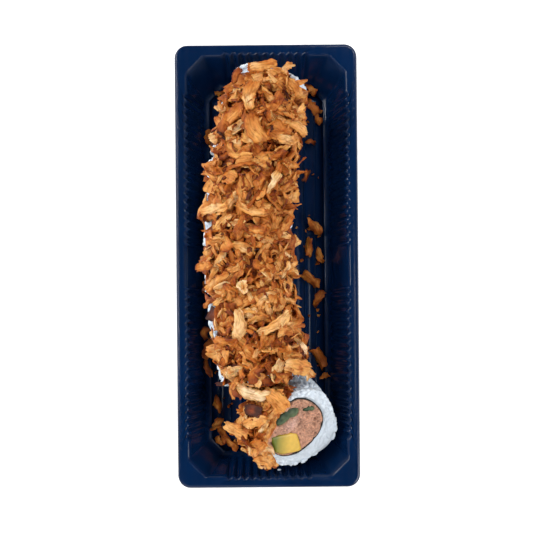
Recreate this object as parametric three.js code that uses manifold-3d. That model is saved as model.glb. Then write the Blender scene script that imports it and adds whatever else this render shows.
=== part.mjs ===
// Takeaway sushi tray: a navy formed-plastic tray that holds a sliced inside-out roll under fried onions.
// Millimetres, +Z up. The origin is the middle of the tray's underside, and +Y runs to its far end.
import * as THREE from "three";
import { mergeVertices } from "three/addons/utils/BufferGeometryUtils.js";
import Module from "manifold-3d";

const wasm = await Module();
wasm.setup();

// Tray
const TRAY_LENGTH = 218;
const TRAY_WIDTH = 90;
const TRAY_HEIGHT = 22;
const SHEET = 0.8; // thickness of the formed sheet
const RIM_RADIUS = 6.5;
const RIM_BAND = 6.1; // from the tray's outer edge to the opening
const RIM_CHAMFER = 8.2; // cut corner of the opening at the rim
const FLOOR_CHAMFER = 7.5; // cut corner of the floor
const SIDE_LEAN = 7.2; // how far a long wall leans in between rim and floor
const END_LEAN = 6.4; // how far an end wall leans in between rim and floor
const LIP_DROP = 3.4; // height of the turned-down edge
const LIP_BEVEL = 1.8; // width of the slope from the flat rim to the edge
const LIP_SHOULDER = 1.2; // height of that slope

// Flutes in the tray's walls
const FLUTE_PITCH = 3.93;
const FLUTE_POINTS = 3;
const FLUTE_AT_RIM = 1.2; // depth at the rim
const FLUTE_AT_FLOOR = 0.5; // depth at the floor
const SIDE_FLUTES = 19; // on each half of a long wall
const END_FLUTES = 11; // on an end wall
const LOCK_PANEL = 21.4; // plain panel in the middle of a long wall, set out by a flute's depth
const LOCK_EASE = 1;

// Ribs along the tray's floor
const RIB_COUNT = 10;
const RIB_PITCH = 5.6;
const RIB_HEIGHT = 0.5;
const RIB_BASE = 1.6;
const RIB_CREST = 0.8;
const RIB_END_GAP = 9; // from a rib's end to the floor's end

// Roll
const PIECES = 8;
const ROLL_HALF_WIDTH = 21;
const ROLL_HALF_HEIGHT = 20;
const ROLL_SQUARENESS = 2.35; // exponent of the outline: 2 is round, more is squarer
const PIECE_THICKNESS = 18.9;
const RICE_SIDES = 24;
const RICE_BUMP = 0.55; // height of the grains that stand out of the rice
const RICE_EDGE = 0.8; // rounding of the rice at a cut
const RICE_RINGS = [0, 0.15, 0.5, 0.85, 1]; // shares of a piece's thickness
const NORI_CENTRE = new THREE.Vector2(-1.1, 1.1); // off the roll's middle
const NORI_HALF_WIDTH = 15.5;
const NORI_HALF_HEIGHT = 15.2;
const NORI_SQUARENESS = 2.5;
const NORI_SIDES = 16;
const NORI_THICKNESS = 0.5;
const GAP = 0.3; // between pieces that lie against each other

// Fillings, in a slice's own plane: x to the right, y up
const AVOCADO_CENTRE = new THREE.Vector2(-9.4, -1.4);
const AVOCADO_LENGTH = 13.5;
const AVOCADO_WIDTH = 11.4;
const AVOCADO_TURN = THREE.MathUtils.degToRad(-44);
const CUCUMBER_CENTRE = new THREE.Vector2(1.6, 10.7);
const CUCUMBER_LENGTH = 12;
const CUCUMBER_WIDTH = 4.6;
const CUCUMBER_TURN = THREE.MathUtils.degToRad(-16);
const BAR_SQUARENESS = 4;
const BAR_SIDES = 12;

// How the slices lie: seven stand in a bent row and the last leans back on the seventh
const ROW_CENTRE = new THREE.Vector2(250.4, 9); // of the arc that the row follows
const ROW_RADIUS = 260;
const ROW_START = THREE.MathUtils.degToRad(15.9); // first slice's place on the arc
const ROW_STEP = THREE.MathUtils.degToRad(4.63);
const LEAN_CENTRE = new THREE.Vector2(11, -75.2); // middle of the leaning slice, seen from above
const LEAN_FROM_VERTICAL = THREE.MathUtils.degToRad(35); // its cut face's axis
const LEAN_HEADING = THREE.MathUtils.degToRad(45); // from straight towards the near end, to the right
const LEAN_BULGE = 4.6; // of the leaning slice's rice, at the lower corner of its cut face
const LEAN_BULGE_ANGLE = THREE.MathUtils.degToRad(168);
const LEAN_BULGE_SPREAD = THREE.MathUtils.degToRad(26);

// Fried onions
const ONION_CLEARANCE = 1.1; // from the rice's mean surface to the onions
const ONION_DEPTH = 2.4; // of the packed core
const ONION_EDGE = 0.45; // share of that depth left at the heap's lower edges
const ONION_REACH = [60, 74].map(THREE.MathUtils.degToRad); // least and most, to either side of the top
const ONION_INSIDE = 0.6; // from the clearance to the core's inner corners
const ONION_STEPS = 6;
const FLAKES_PER_HEAP = 11;
const FLAKE_LENGTHS = [15, 8]; // longest and shortest
const FLAKE_WIDTHS = [0.26, 0.4]; // shares of its length
const FLAKE_THICKNESS = 1.2;
const FLAKE_LIFTS = [0.5, 1.2]; // of its middle over the core
const FLAKE_TILT = 0.4; // most that a flake leans off the heap, from side to side
const FLAKE_TAPER = 0.5;
const FLAKE_CURLS = [0.05, 0.17]; // shares of its length
const FLAKE_TWIST = 0.7;
const ROUND_STEP = 0.618034; // from one flake to the next round a heap, which spreads them evenly
const ALONG_STEP = 0.754878; // the same along the slice
const HEAP_SPACE = 0.5; // between neighbouring heaps
const LEAN_REACH = [-122, 42].map(THREE.MathUtils.degToRad); // heap round the leaning slice
const LEAN_DEPTH = 4.2; // of that heap's core
const LEAN_OVERHANG = 5; // of that heap past the cut face
const END_BARE = 4; // of the first slice, left free of onions at the row's far end
const HEAP_SEED = 100;
const LOOSE_SEED = 500;

// Loose flakes on the tray's floor: x, y, turn in degrees, length
const LOOSE_FLAKES = [
  [-26.6, -69.5, -52, 11],
  [-27, -80, 50, 9],
  [-25.5, -89, -48, 8],
  [22.6, -5.4, -50, 11],
  [26.4, -15.4, 65, 9],
  [24.6, 22, -55, 11],
  [21.6, 11.5, 85, 9],
  [27.2, 7, -70, 8],
  [26.6, -46, -65, 11],
  [24, 84.5, -58, 10],
];

const material = (color, roughness) => new THREE.MeshStandardMaterial({ color, roughness, metalness: 0 });
const NAVY_PLASTIC = material(0x06204a, 0.3);
const RICE = material(0xe4e6e8, 0.6);
const NORI = material(0x161c1a, 0.55);
const TUNA = material(0xc09278, 0.7);
const AVOCADO = material(0xd2b450, 0.5);
const CUCUMBER = material(0x3c5a34, 0.45);
const ONION = material(0xb4702f, 0.7);

const UP = new THREE.Vector3(0, 0, 1);
const FULL_TURN = 2 * Math.PI;
const SAME_POINT = 1e-4;
const INTEGER_RANGE = 2 ** 32;
const ROLL_FLOOR = SHEET + RIB_HEIGHT + GAP;

// A repeatable stream of numbers from 0 to 1.
function randomStream(seed) {
  let state = seed >>> 0;
  return () => {
    state = (state + 0x6d2b79f5) >>> 0;
    let mixed = Math.imul(state ^ (state >>> 15), 1 | state);
    mixed = (mixed + Math.imul(mixed ^ (mixed >>> 7), 61 | mixed)) ^ mixed;
    return ((mixed ^ (mixed >>> 14)) >>> 0) / INTEGER_RANGE;
  };
}

// A closed three.js geometry as a solid that can be joined and cut.
function solidOf(geometry) {
  const bare = new THREE.BufferGeometry();
  bare.setAttribute("position", geometry.attributes.position);
  bare.setIndex(geometry.index);
  const merged = mergeVertices(bare, SAME_POINT);
  const vertProperties = new Float32Array(merged.attributes.position.array);
  const triVerts = new Uint32Array(merged.index.array);
  return new wasm.Manifold(new wasm.Mesh({ numProp: 3, vertProperties, triVerts }));
}

function geometryOf(solid) {
  const mesh = solid.getMesh();
  const geometry = new THREE.BufferGeometry();
  geometry.setAttribute("position", new THREE.BufferAttribute(new Float32Array(mesh.vertProperties), 3));
  geometry.setIndex(new THREE.BufferAttribute(new Uint32Array(mesh.triVerts), 1));
  geometry.computeVertexNormals();
  return geometry;
}

// The outer skin of the largest body: loose scraps are dropped and sealed hollows are filled.
function largestBody(solid) {
  return solid.decompose().sort((a, b) => b.volume() - a.volume())[0];
}

function namedMesh(name, geometry, look) {
  const mesh = new THREE.Mesh(geometry, look.clone());
  mesh.name = name;
  return mesh;
}

// A closed skin over outlines of equal point counts, each at its own height, from the lowest up.
function loft(sections) {
  const count = sections[0].outline.length;
  const last = (sections.length - 1) * count;
  const position = sections.flatMap(({ outline, z }) => outline.flatMap((p) => [p.x, p.y, z]));
  const index = [];
  for (let s = 0; s + 1 < sections.length; s++) {
    for (let i = 0; i < count; i++) {
      const a = s * count + i;
      const b = s * count + ((i + 1) % count);
      index.push(a, b, b + count, a, b + count, a + count);
    }
  }
  for (const [a, b, c] of THREE.ShapeUtils.triangulateShape(sections[0].outline, [])) {
    index.push(a, c, b);
  }
  for (const [a, b, c] of THREE.ShapeUtils.triangulateShape(sections.at(-1).outline, [])) {
    index.push(last + a, last + b, last + c);
  }
  const geometry = new THREE.BufferGeometry();
  geometry.setAttribute("position", new THREE.Float32BufferAttribute(position, 3));
  geometry.setIndex(index);
  return geometry;
}

// An outline turned half round and added to itself, for shapes with two like halves.
function bothHalves(half) {
  return [...half, ...half.map((p) => new THREE.Vector2(-p.x, -p.y))];
}

function roundedRectangle(inset) {
  const x = TRAY_WIDTH / 2 - RIM_RADIUS;
  const y = TRAY_LENGTH / 2 - RIM_RADIUS;
  const radius = RIM_RADIUS - inset;
  const steps = 6;
  const half = [];
  for (const [cx, cy, start] of [[x, y, 0], [-x, y, Math.PI / 2]]) {
    for (let i = 0; i <= steps; i++) {
      const angle = start + ((Math.PI / 2) * i) / steps;
      half.push(new THREE.Vector2(cx + radius * Math.cos(angle), cy + radius * Math.sin(angle)));
    }
  }
  return bothHalves(half);
}

// A run of flutes as [place along the wall, depth]: scallops that meet in ridges of no depth.
function fluteRun(start, flutes, depth) {
  const points = [];
  for (let i = 0; i <= flutes * FLUTE_POINTS; i++) {
    const share = i / FLUTE_POINTS;
    points.push([start + share * FLUTE_PITCH, depth * Math.abs(Math.sin(Math.PI * share))]);
  }
  return points;
}

// The fluted wall's outline at a height, grown outwards for the wall's outer face.
function wallOutline(z, grow) {
  const rise = (z - SHEET) / (TRAY_HEIGHT - SHEET);
  const mix = (floor, rim) => floor + (rim - floor) * rise;
  const rimX = TRAY_WIDTH / 2 - RIM_BAND;
  const rimY = TRAY_LENGTH / 2 - RIM_BAND;
  const x = mix(rimX - SIDE_LEAN, rimX) + grow;
  const y = mix(rimY - END_LEAN, rimY) + grow;
  const chamfer = mix(FLOOR_CHAMFER, RIM_CHAMFER) + grow * (2 - Math.SQRT2);
  const depth = mix(FLUTE_AT_FLOOR, FLUTE_AT_RIM);
  const panel = LOCK_PANEL / 2;
  const sideRun = SIDE_FLUTES * FLUTE_PITCH;
  const side = [
    [chamfer - y, 0],
    ...fluteRun(-panel - sideRun, SIDE_FLUTES, depth),
    [LOCK_EASE - panel, depth],
    [panel - LOCK_EASE, depth],
    ...fluteRun(panel, SIDE_FLUTES, depth),
    [y - chamfer, 0],
  ];
  const end = [
    [chamfer - x, 0],
    ...fluteRun((-END_FLUTES * FLUTE_PITCH) / 2, END_FLUTES, depth),
    [x - chamfer, 0],
  ];
  return bothHalves([
    ...side.map(([along, out]) => new THREE.Vector2(x + out, along)),
    ...end.map(([along, out]) => new THREE.Vector2(-along, y + out)),
  ]);
}

// One rib, or the groove under it, as a long prism that stands on a height.
function floorRib(x, z) {
  const length = TRAY_LENGTH - 2 * (RIM_BAND + END_LEAN + RIB_END_GAP);
  const section = new THREE.Shape([
    new THREE.Vector2(-RIB_BASE / 2, -SHEET / 4),
    new THREE.Vector2(RIB_BASE / 2, -SHEET / 4),
    new THREE.Vector2(RIB_CREST / 2, RIB_HEIGHT),
    new THREE.Vector2(-RIB_CREST / 2, RIB_HEIGHT),
  ]);
  const rib = new THREE.ExtrudeGeometry(section, { depth: length, bevelEnabled: false });
  rib.rotateX(Math.PI / 2);
  rib.translate(x, length / 2, z);
  rib.setIndex([...Array(rib.attributes.position.count).keys()]);
  return solidOf(rib);
}

function tray() {
  const shoulder = TRAY_HEIGHT - LIP_SHOULDER;
  const rim = loft([
    { outline: roundedRectangle(0), z: TRAY_HEIGHT - LIP_DROP },
    { outline: roundedRectangle(LIP_BEVEL / 6), z: shoulder },
    { outline: roundedRectangle(LIP_BEVEL), z: TRAY_HEIGHT },
  ]);
  const underRim = loft([
    { outline: roundedRectangle(SHEET), z: TRAY_HEIGHT - LIP_DROP - SHEET },
    { outline: roundedRectangle(SHEET + LIP_BEVEL / 6), z: shoulder - SHEET / 2 },
    { outline: roundedRectangle(SHEET / 2 + LIP_BEVEL), z: TRAY_HEIGHT - SHEET },
  ]);
  const outerTub = loft([
    { outline: wallOutline(0, SHEET), z: 0 },
    { outline: wallOutline(TRAY_HEIGHT - SHEET, SHEET), z: TRAY_HEIGHT - SHEET },
    { outline: wallOutline(TRAY_HEIGHT - SHEET, SHEET), z: TRAY_HEIGHT - SHEET / 2 },
  ]);
  const hollow = loft([
    { outline: wallOutline(SHEET, 0), z: SHEET },
    { outline: wallOutline(TRAY_HEIGHT, 0), z: TRAY_HEIGHT },
    { outline: wallOutline(TRAY_HEIGHT, 0), z: TRAY_HEIGHT + SHEET },
  ]);
  let shell = solidOf(rim).subtract(solidOf(underRim)).add(solidOf(outerTub)).subtract(solidOf(hollow));
  for (let i = 0; i < RIB_COUNT; i++) {
    const x = (i - (RIB_COUNT - 1) / 2) * RIB_PITCH;
    shell = shell.add(floorRib(x, SHEET)).subtract(floorRib(x, 0));
  }
  return namedMesh("tray", geometryOf(shell), NAVY_PLASTIC);
}

// A point of a squarish oval, by the angle from its top towards the right.
function ovalPoint(angle, halfWidth, halfHeight, squareness) {
  const s = Math.sin(angle);
  const c = Math.cos(angle);
  const x = Math.abs(s) / halfWidth;
  const y = Math.abs(c) / halfHeight;
  const radius = (x ** squareness + y ** squareness) ** (-1 / squareness);
  return new THREE.Vector2(radius * s, radius * c);
}

function ovalOutline(halfWidth, halfHeight, squareness, sides, offset = () => 0) {
  const points = [];
  for (let i = 0; i < sides; i++) {
    const point = ovalPoint((-FULL_TURN * i) / sides, halfWidth, halfHeight, squareness);
    points.push(point.setLength(point.length() + offset(i)));
  }
  return points;
}

function noriOutline(grow) {
  const halfHeight = NORI_HALF_HEIGHT + grow;
  const outline = ovalOutline(NORI_HALF_WIDTH + grow, halfHeight, NORI_SQUARENESS, NORI_SIDES);
  return outline.map((point) => point.add(NORI_CENTRE));
}

function rollPoint(angle, offset) {
  const point = ovalPoint(angle, ROLL_HALF_WIDTH, ROLL_HALF_HEIGHT, ROLL_SQUARENESS);
  return point.setLength(point.length() + offset);
}

// A straight prism through a slice's thickness, past both cuts by an overshoot.
function prism(outline, overshoot = 0) {
  return loft([
    { outline, z: -overshoot },
    { outline, z: PIECE_THICKNESS + overshoot },
  ]);
}

// A strip of filling: a rounded bar's outline, turned in the slice's plane.
function barOutline(centre, length, width, turn, grow) {
  const outline = ovalOutline(length / 2 + grow, width / 2 + grow, BAR_SQUARENESS, BAR_SIDES);
  return outline.map((p) => p.rotateAround(new THREE.Vector2(), turn).add(centre));
}

const avocadoOutline = (grow) =>
  barOutline(AVOCADO_CENTRE, AVOCADO_LENGTH, AVOCADO_WIDTH, AVOCADO_TURN, grow);
const cucumberOutline = (grow) =>
  barOutline(CUCUMBER_CENTRE, CUCUMBER_LENGTH, CUCUMBER_WIDTH, CUCUMBER_TURN, grow);

// The rice round a slice: grains stand out of its side, and its cuts are rounded at the edge.
// A bulge grows towards the cut face that shows.
function riceRing(seed, bulge) {
  const random = randomStream(seed);
  const sections = RICE_RINGS.map((share) => {
    const edge = share === 0 || share === 1 ? RICE_EDGE : 0;
    const bump = (i) => {
      const off = (FULL_TURN * (1 - i / RICE_SIDES) - LEAN_BULGE_ANGLE) / LEAN_BULGE_SPREAD;
      return (random() * 2 - 1) * RICE_BUMP - edge + bulge * share * share * Math.exp(-off * off);
    };
    const outline = ovalOutline(ROLL_HALF_WIDTH, ROLL_HALF_HEIGHT, ROLL_SQUARENESS, RICE_SIDES, bump);
    return { outline, z: share * PIECE_THICKNESS };
  });
  const hole = prism(noriOutline(GAP), GAP);
  return geometryOf(solidOf(loft(sections)).subtract(solidOf(hole)));
}

function noriTube() {
  const hole = prism(noriOutline(-NORI_THICKNESS), GAP);
  return geometryOf(solidOf(prism(noriOutline(0))).subtract(solidOf(hole)));
}

// A filling stays inside the nori.
function insideNori(outline) {
  const room = solidOf(prism(noriOutline(-NORI_THICKNESS - GAP)));
  return solidOf(prism(outline)).intersect(room);
}

function tunaFilling() {
  const room = solidOf(prism(noriOutline(-NORI_THICKNESS - GAP)));
  const avocado = solidOf(prism(avocadoOutline(GAP), GAP));
  const cucumber = solidOf(prism(cucumberOutline(GAP), GAP));
  return geometryOf(largestBody(room.subtract(avocado).subtract(cucumber)));
}

// A slice's group: x to the right of its cut face, y up, z out of the face towards the near end.
function sliceGroup(centre, heading, tilt, height) {
  const group = new THREE.Group();
  group.rotation.set(tilt, 0, heading, "ZYX");
  group.position.set(centre.x, centre.y, height);
  const back = new THREE.Vector3(0, 0, -PIECE_THICKNESS / 2).applyEuler(group.rotation);
  group.position.add(back);
  group.updateMatrixWorld(true);
  return group;
}

function placedSlices() {
  const halfHeight = ROLL_HALF_HEIGHT + RICE_BUMP;
  const groups = [];
  for (let i = 0; i < PIECES - 1; i++) {
    const turn = ROW_START - i * ROW_STEP;
    const centre = new THREE.Vector2(-ROW_RADIUS * Math.cos(turn), ROW_RADIUS * Math.sin(turn));
    groups.push(sliceGroup(centre.add(ROW_CENTRE), -turn, Math.PI / 2, ROLL_FLOOR + halfHeight));
  }
  const lean = LEAN_FROM_VERTICAL;
  const middle = halfHeight * Math.sin(lean) + (PIECE_THICKNESS / 2) * Math.cos(lean);
  groups.push(sliceGroup(LEAN_CENTRE, LEAN_HEADING, lean, ROLL_FLOOR + middle));
  return groups;
}

function fillSlice(group, number) {
  const name = (layer) => `slice_${number}_${layer}`;
  const bulge = number === PIECES ? LEAN_BULGE : 0;
  group.add(namedMesh(name("rice"), riceRing(number, bulge), RICE));
  group.add(namedMesh(name("nori"), noriTube(), NORI));
  group.add(namedMesh(name("tuna"), tunaFilling(), TUNA));
  group.add(namedMesh(name("avocado"), geometryOf(insideNori(avocadoOutline(0))), AVOCADO));
  group.add(namedMesh(name("cucumber"), geometryOf(insideNori(cucumberOutline(0))), CUCUMBER));
}

// A fried onion flake: a thin strip, narrow at its ends, that curls and twists, with extra all round it.
function onionFlake(random, length, extra = 0) {
  const width = length * THREE.MathUtils.lerp(...FLAKE_WIDTHS, random());
  const curl = length * THREE.MathUtils.lerp(...FLAKE_CURLS, random());
  const sway = width * (random() - 0.5);
  const twist = (random() - 0.5) * FLAKE_TWIST;
  const flake = new THREE.BoxGeometry(length + extra, width + extra, FLAKE_THICKNESS + extra, 2, 1, 1);
  const position = flake.attributes.position;
  const point = new THREE.Vector3();
  for (let i = 0; i < position.count; i++) {
    point.fromBufferAttribute(position, i);
    const along = (2 * point.x) / length;
    point.y = point.y * (1 - FLAKE_TAPER * along * along) + sway * along * along;
    point.z += curl * (0.5 - along * along) + twist * along * point.y;
    position.setXYZ(i, point.x, point.y, point.z);
  }
  return flake;
}

// How much of a heap's depth is left at a share of the way from one lower edge to the other.
function heapShare(share) {
  const edge = Math.abs(2 * share - 1);
  return 1 - (1 - ONION_EDGE) * edge * edge;
}

// The packed core of a heap: a band over the roll's top, thinner towards its lower edges.
function heapCore({ from, to, depth, start }, extra) {
  const outer = [];
  const inner = [];
  for (let i = 0; i <= ONION_STEPS; i++) {
    const share = i / ONION_STEPS;
    const angle = THREE.MathUtils.lerp(from, to, share);
    outer.unshift(rollPoint(angle, ONION_CLEARANCE + depth * heapShare(share) + extra));
    inner.push(rollPoint(angle, ONION_CLEARANCE + ONION_INSIDE));
  }
  const outline = [...outer, ...inner];
  return loft([
    { outline, z: start - extra },
    { outline, z: PIECE_THICKNESS + extra },
  ]);
}

// A flake's place on a slice: round the roll by an angle, along it, lifted off the rice and turned.
function flakeMatrix(random, angle, along, lift, turn) {
  const base = rollPoint(angle, ONION_CLEARANCE + lift);
  const out = new THREE.Vector3(Math.sin(angle), Math.cos(angle), 0);
  const across = new THREE.Vector3().crossVectors(UP, out);
  const place = new THREE.Matrix4().makeBasis(across, UP, out);
  place.setPosition(base.x, base.y, along);
  const tilt = () => (random() - 0.5) * FLAKE_TILT;
  const pose = new THREE.Euler(tilt(), tilt(), turn, "ZXY");
  return place.multiply(new THREE.Matrix4().makeRotationFromEuler(pose));
}

// One slice's heap in the tray's frame, and the slightly larger body that its neighbours keep out of.
function onionHeap(group, number, spread) {
  const bodies = [0, HEAP_SPACE].map((extra) => {
    const random = randomStream(HEAP_SEED + number);
    let heap = solidOf(heapCore(spread, extra).applyMatrix4(group.matrixWorld));
    for (let i = 0; i < FLAKES_PER_HEAP; i++) {
      const length = THREE.MathUtils.lerp(...FLAKE_LENGTHS, i / (FLAKES_PER_HEAP - 1));
      const round = (0.5 + i * ROUND_STEP) % 1;
      const angle = THREE.MathUtils.lerp(spread.from, spread.to, round);
      const turn = random() * Math.PI;
      const room = (length * Math.sin(turn) + length * FLAKE_WIDTHS[1]) / 2 + GAP;
      const far = PIECE_THICKNESS + spread.overhang - room;
      const share = (0.25 + i * ALONG_STEP) % 1;
      const along = THREE.MathUtils.clamp(share * PIECE_THICKNESS, spread.start + room, far);
      const lift = spread.depth * heapShare(round) + THREE.MathUtils.lerp(...FLAKE_LIFTS, random());
      const flake = onionFlake(random, length, extra);
      const place = flakeMatrix(random, angle, along, lift, turn);
      heap = heap.add(solidOf(flake.applyMatrix4(place).applyMatrix4(group.matrixWorld)));
    }
    return heap;
  });
  return { heap: bodies[0], keepOut: bodies[1] };
}

// The space that a slice takes, with room to spare, which the onions stay out of.
function sliceSpace(group) {
  const outline = ovalOutline(
    ROLL_HALF_WIDTH + ONION_CLEARANCE,
    ROLL_HALF_HEIGHT + ONION_CLEARANCE,
    ROLL_SQUARENESS,
    RICE_SIDES,
  );
  return solidOf(prism(outline, GAP).applyMatrix4(group.matrixWorld));
}

function onionHeaps(slices) {
  const heaps = new THREE.Group();
  const random = randomStream(HEAP_SEED);
  let taken = slices.map(sliceSpace).reduce((all, space) => all.add(space));
  slices.forEach((group, i) => {
    const reach = () => THREE.MathUtils.lerp(...ONION_REACH, random());
    const spread = { from: -reach(), to: reach(), depth: ONION_DEPTH, overhang: 0, start: 0 };
    if (i === 0) spread.start = END_BARE;
    if (i === PIECES - 1) {
      [spread.from, spread.to] = LEAN_REACH;
      spread.depth = LEAN_DEPTH;
      spread.overhang = LEAN_OVERHANG;
    }
    const { heap, keepOut } = onionHeap(group, i + 1, spread);
    const body = largestBody(heap.subtract(taken));
    taken = taken.add(keepOut);
    heaps.add(namedMesh(`onions_${i + 1}`, geometryOf(body), ONION));
  });
  return heaps;
}

function looseFlakes() {
  const flakes = new THREE.Group();
  LOOSE_FLAKES.forEach(([x, y, turn, length], i) => {
    const geometry = onionFlake(randomStream(LOOSE_SEED + i), length);
    geometry.computeBoundingBox();
    const mesh = namedMesh(`loose_flake_${i + 1}`, geometry, ONION);
    mesh.position.set(x, y, ROLL_FLOOR - geometry.boundingBox.min.z);
    mesh.rotateOnAxis(UP, THREE.MathUtils.degToRad(turn));
    flakes.add(mesh);
  });
  return flakes;
}

const slices = placedSlices();
slices.forEach((group, i) => fillSlice(group, i + 1));

const sushiTray = new THREE.Group();
sushiTray.add(tray(), ...slices, onionHeaps(slices), looseFlakes());
export default sushiTray;
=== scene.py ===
"""Takeaway sushi tray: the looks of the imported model, in its own frame."""
import math

import bpy
import numpy as np
from mathutils import Matrix, Vector, geometry, noise


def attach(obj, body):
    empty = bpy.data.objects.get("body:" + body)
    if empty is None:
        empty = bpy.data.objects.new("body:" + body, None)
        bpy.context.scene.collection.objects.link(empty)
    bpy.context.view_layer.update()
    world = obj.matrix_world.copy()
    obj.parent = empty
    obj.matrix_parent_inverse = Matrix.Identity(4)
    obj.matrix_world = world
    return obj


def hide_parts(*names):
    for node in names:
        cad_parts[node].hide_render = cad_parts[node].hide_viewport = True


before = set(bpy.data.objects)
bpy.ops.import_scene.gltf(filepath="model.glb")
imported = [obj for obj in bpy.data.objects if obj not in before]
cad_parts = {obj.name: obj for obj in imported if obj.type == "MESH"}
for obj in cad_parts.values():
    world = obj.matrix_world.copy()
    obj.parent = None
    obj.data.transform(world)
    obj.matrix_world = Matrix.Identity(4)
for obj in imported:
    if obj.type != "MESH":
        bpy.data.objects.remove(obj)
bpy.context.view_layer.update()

# Lengths are in millimetres here and become metres when a mesh is made.
MM = 0.001

# Tray
TRAY_LENGTH = 218
TRAY_WIDTH = 90
TRAY_HEIGHT = 22
SHEET = 0.8
RIM_RADIUS = 6.5
RIM_BAND = 6.1
RIM_CHAMFER = 8.2
FLOOR_CHAMFER = 7.5
SIDE_LEAN = 7.2
END_LEAN = 6.4
LIP_DROP = 3.4
LIP_BEVEL = 1.8
FLUTE_PITCH = 3.93
FLUTE_STEPS = 10
FLUTE_AT_RIM = 1.2
FLUTE_AT_FLOOR = 0.5
SIDE_FLUTES = 19
END_FLUTES = 11
LOCK_PANEL = 21.4
LOCK_EASE = 1
RIB_COUNT = 10
RIB_PITCH = 5.6
RIB_HEIGHT = 0.5
RIB_BASE = 1.6
RIB_END_GAP = 9
RIB_RUNOUT = 4
FLOOR_FILLET = 2.4
RIM_FILLET = 1.0
LIP_MARGIN = 0.5
# Shares of the wall's height that lie between its fillets, inside and outside.
INNER_RISES = (0.2, 0.88)
OUTER_RISES = (0.93, 0.1)
# Stations on the plain stretches and corners, and along and across the ribs.
PLAIN_STEPS = 5
PLAIN_LEAST = 0.1
CORNER_STEPS = 8
RIB_END_STEPS = 4
RIB_STEPS = 24
RIB_LINES = 9
RIB_HALF_LENGTH = TRAY_LENGTH / 2 - RIM_BAND - END_LEAN - RIB_END_GAP
MERGE = 1e-5

# Roll
PIECES = 8
ROLL_HALF_WIDTH = 21
ROLL_HALF_HEIGHT = 20
ROLL_SQUARENESS = 2.35
ROLL_STEPS = 96
PIECE_THICKNESS = 18.9
RICE_BUMP = 0.55
GAP = 0.3
ROLL_FLOOR = SHEET + RIB_HEIGHT + GAP
ROW_CENTRE = (250.4, 9)
ROW_RADIUS = 260
ROW_START = math.radians(15.9)
ROW_STEP = math.radians(4.63)
# Width of the roll at its far end and after each slice that narrows towards it.
ROLL_TAPER = (0.84, 0.95, 1.0)
LEAN_CENTRE = (11, -75.2)
LEAN_FROM_VERTICAL = math.radians(35)
LEAN_HEADING = math.radians(45)
# Height, middle and spread of the leaning slice's bulge and of its pressed edge.
LEAN_BULGE = (3.4, math.radians(168), math.radians(26))
LEAN_FLAT = (2.4, math.radians(110), math.radians(26))
WOBBLE_WAVES = (2, 3, 5, 8)

# Layers of a slice: row height, jitter and clearance as shares of a grid's spacing
GRID_ROW = 0.87
GRID_JITTER = 0.22
GRID_CLEAR = 0.45
NORI_CENTRE = (-1.3, 3.5)
NORI_HALF_WIDTH = 15.4
NORI_HALF_HEIGHT = 14.9
NORI_SQUARENESS = 2.3
NORI_STEPS = 72
NORI_SHEET = 0.42
NORI_WOBBLE = 0.12
NORI_SPACING = 3
# Height, roughness and scale of the nori's cut edge.
NORI_EDGE = (0.1, 0.25, 0.35)
# Centre, length, width, turn, steps round, squareness, skew and raggedness of the fillings.
AVOCADO = ((-9.5, -0.5), 13.8, 11.4, math.radians(-44), 44, 9, -0.34, 0.0)
CUCUMBER = ((0.8, 11.8), 12, 5.6, math.radians(-16), 32, 3, 0.0, 1.0)
CHIP = ((10.2, 5.2), 6.0, 2.6, math.radians(-50), 24, 2.2, 0.0, 0.6)
FILLING_INSET = 0.75
FILLING_EDGE = 0.4
FILLING_SCALE = 0.6
# Spacing, height and roughness of their cut faces.
AVOCADO_FACE = (0.9, 0.4, 0.12)
CUCUMBER_FACE = (0.6, 0.3, 0.45)
# Start and stretch of the avocado's change from green to yellow in its length, and its power.
AVOCADO_RIPENING = (0.42, 0.55, 0.8)
# The cucumber's flesh in the middle, its loss towards the skin, and its patches and their scale.
CUCUMBER_PALING = (0.25, 0.4, 0.6, 0.45)
SHOWN_SLICES = (1, 7, 8)
TUNA_SPACING = {True: 0.5, False: 1.4}
TUNA_INSET = 0.5
TUNA_STEPS = 64
# Heights and scales of the tuna's lumps, shreds and fine crumb, and of its rounded edge.
TUNA_LUMPS = (0.8, 0.24)
TUNA_SHREDS = (1.25, 0.5)
TUNA_CRUMB = (0.5, 1.1)
TUNA_EDGE = (0.3, 0.6)
SHRED_STRETCH = (0.8, 1.2)
SHRED_CREST = 0.35
SHRED_DEPTH = 1.3
# Tone of the tuna at its cut and its change with height, which is painted shade in the relief's hollows and
# painted light on its crests; specks, limits, and a paler place.
TUNA_TONE_AND_RELIEF_SHADE = (0.98, 0.5)
TUNA_SPECK = 0.15
TUNA_TONES = (0.45, 1.3)
PALE_CENTRE = (-1.0, 6.0)
PALE_REACH = (4.2, 3.0)
PALE_SHARE = 0.75

# Seeds, to which a slice's number is added
RICE_SEED = 1000
NORI_SEED = 2000
TUNA_SEED = 3000
FILLING_SEED = 4000
HEAP_SEED = 5000
LOOSE_SEED = 6000
RAGGED_SEED = 7000

# Grains of rice
GRAIN_HALF = (2.4, 1.2, 1.15)
GRAIN_SIDES = 6
GRAIN_RINGS = 5
GRAIN_SINK = 0.7
GRAIN_SIZES = (0.86, 1.1)
GRAIN_TIP = 0.12
GRAIN_TONES = (0.9, 1.06)
GRAIN_PITCH = 2.35
GRAIN_COLUMNS = 5
GRAIN_CELL = (0.1, 0.9)
GRAIN_ROUGH = 0.2
KNIFE_REACH = 0.3
EDGE_ROUND = 1.3
EDGE_REACH = 1.6
RICE_REACH = math.radians(152)
RICE_LUMP = 0.7
# Waves of the rice's lumps round the slice and along it, and the step to another slice's lumps.
LUMP_WAVES = (4, 0.15, 9)
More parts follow.
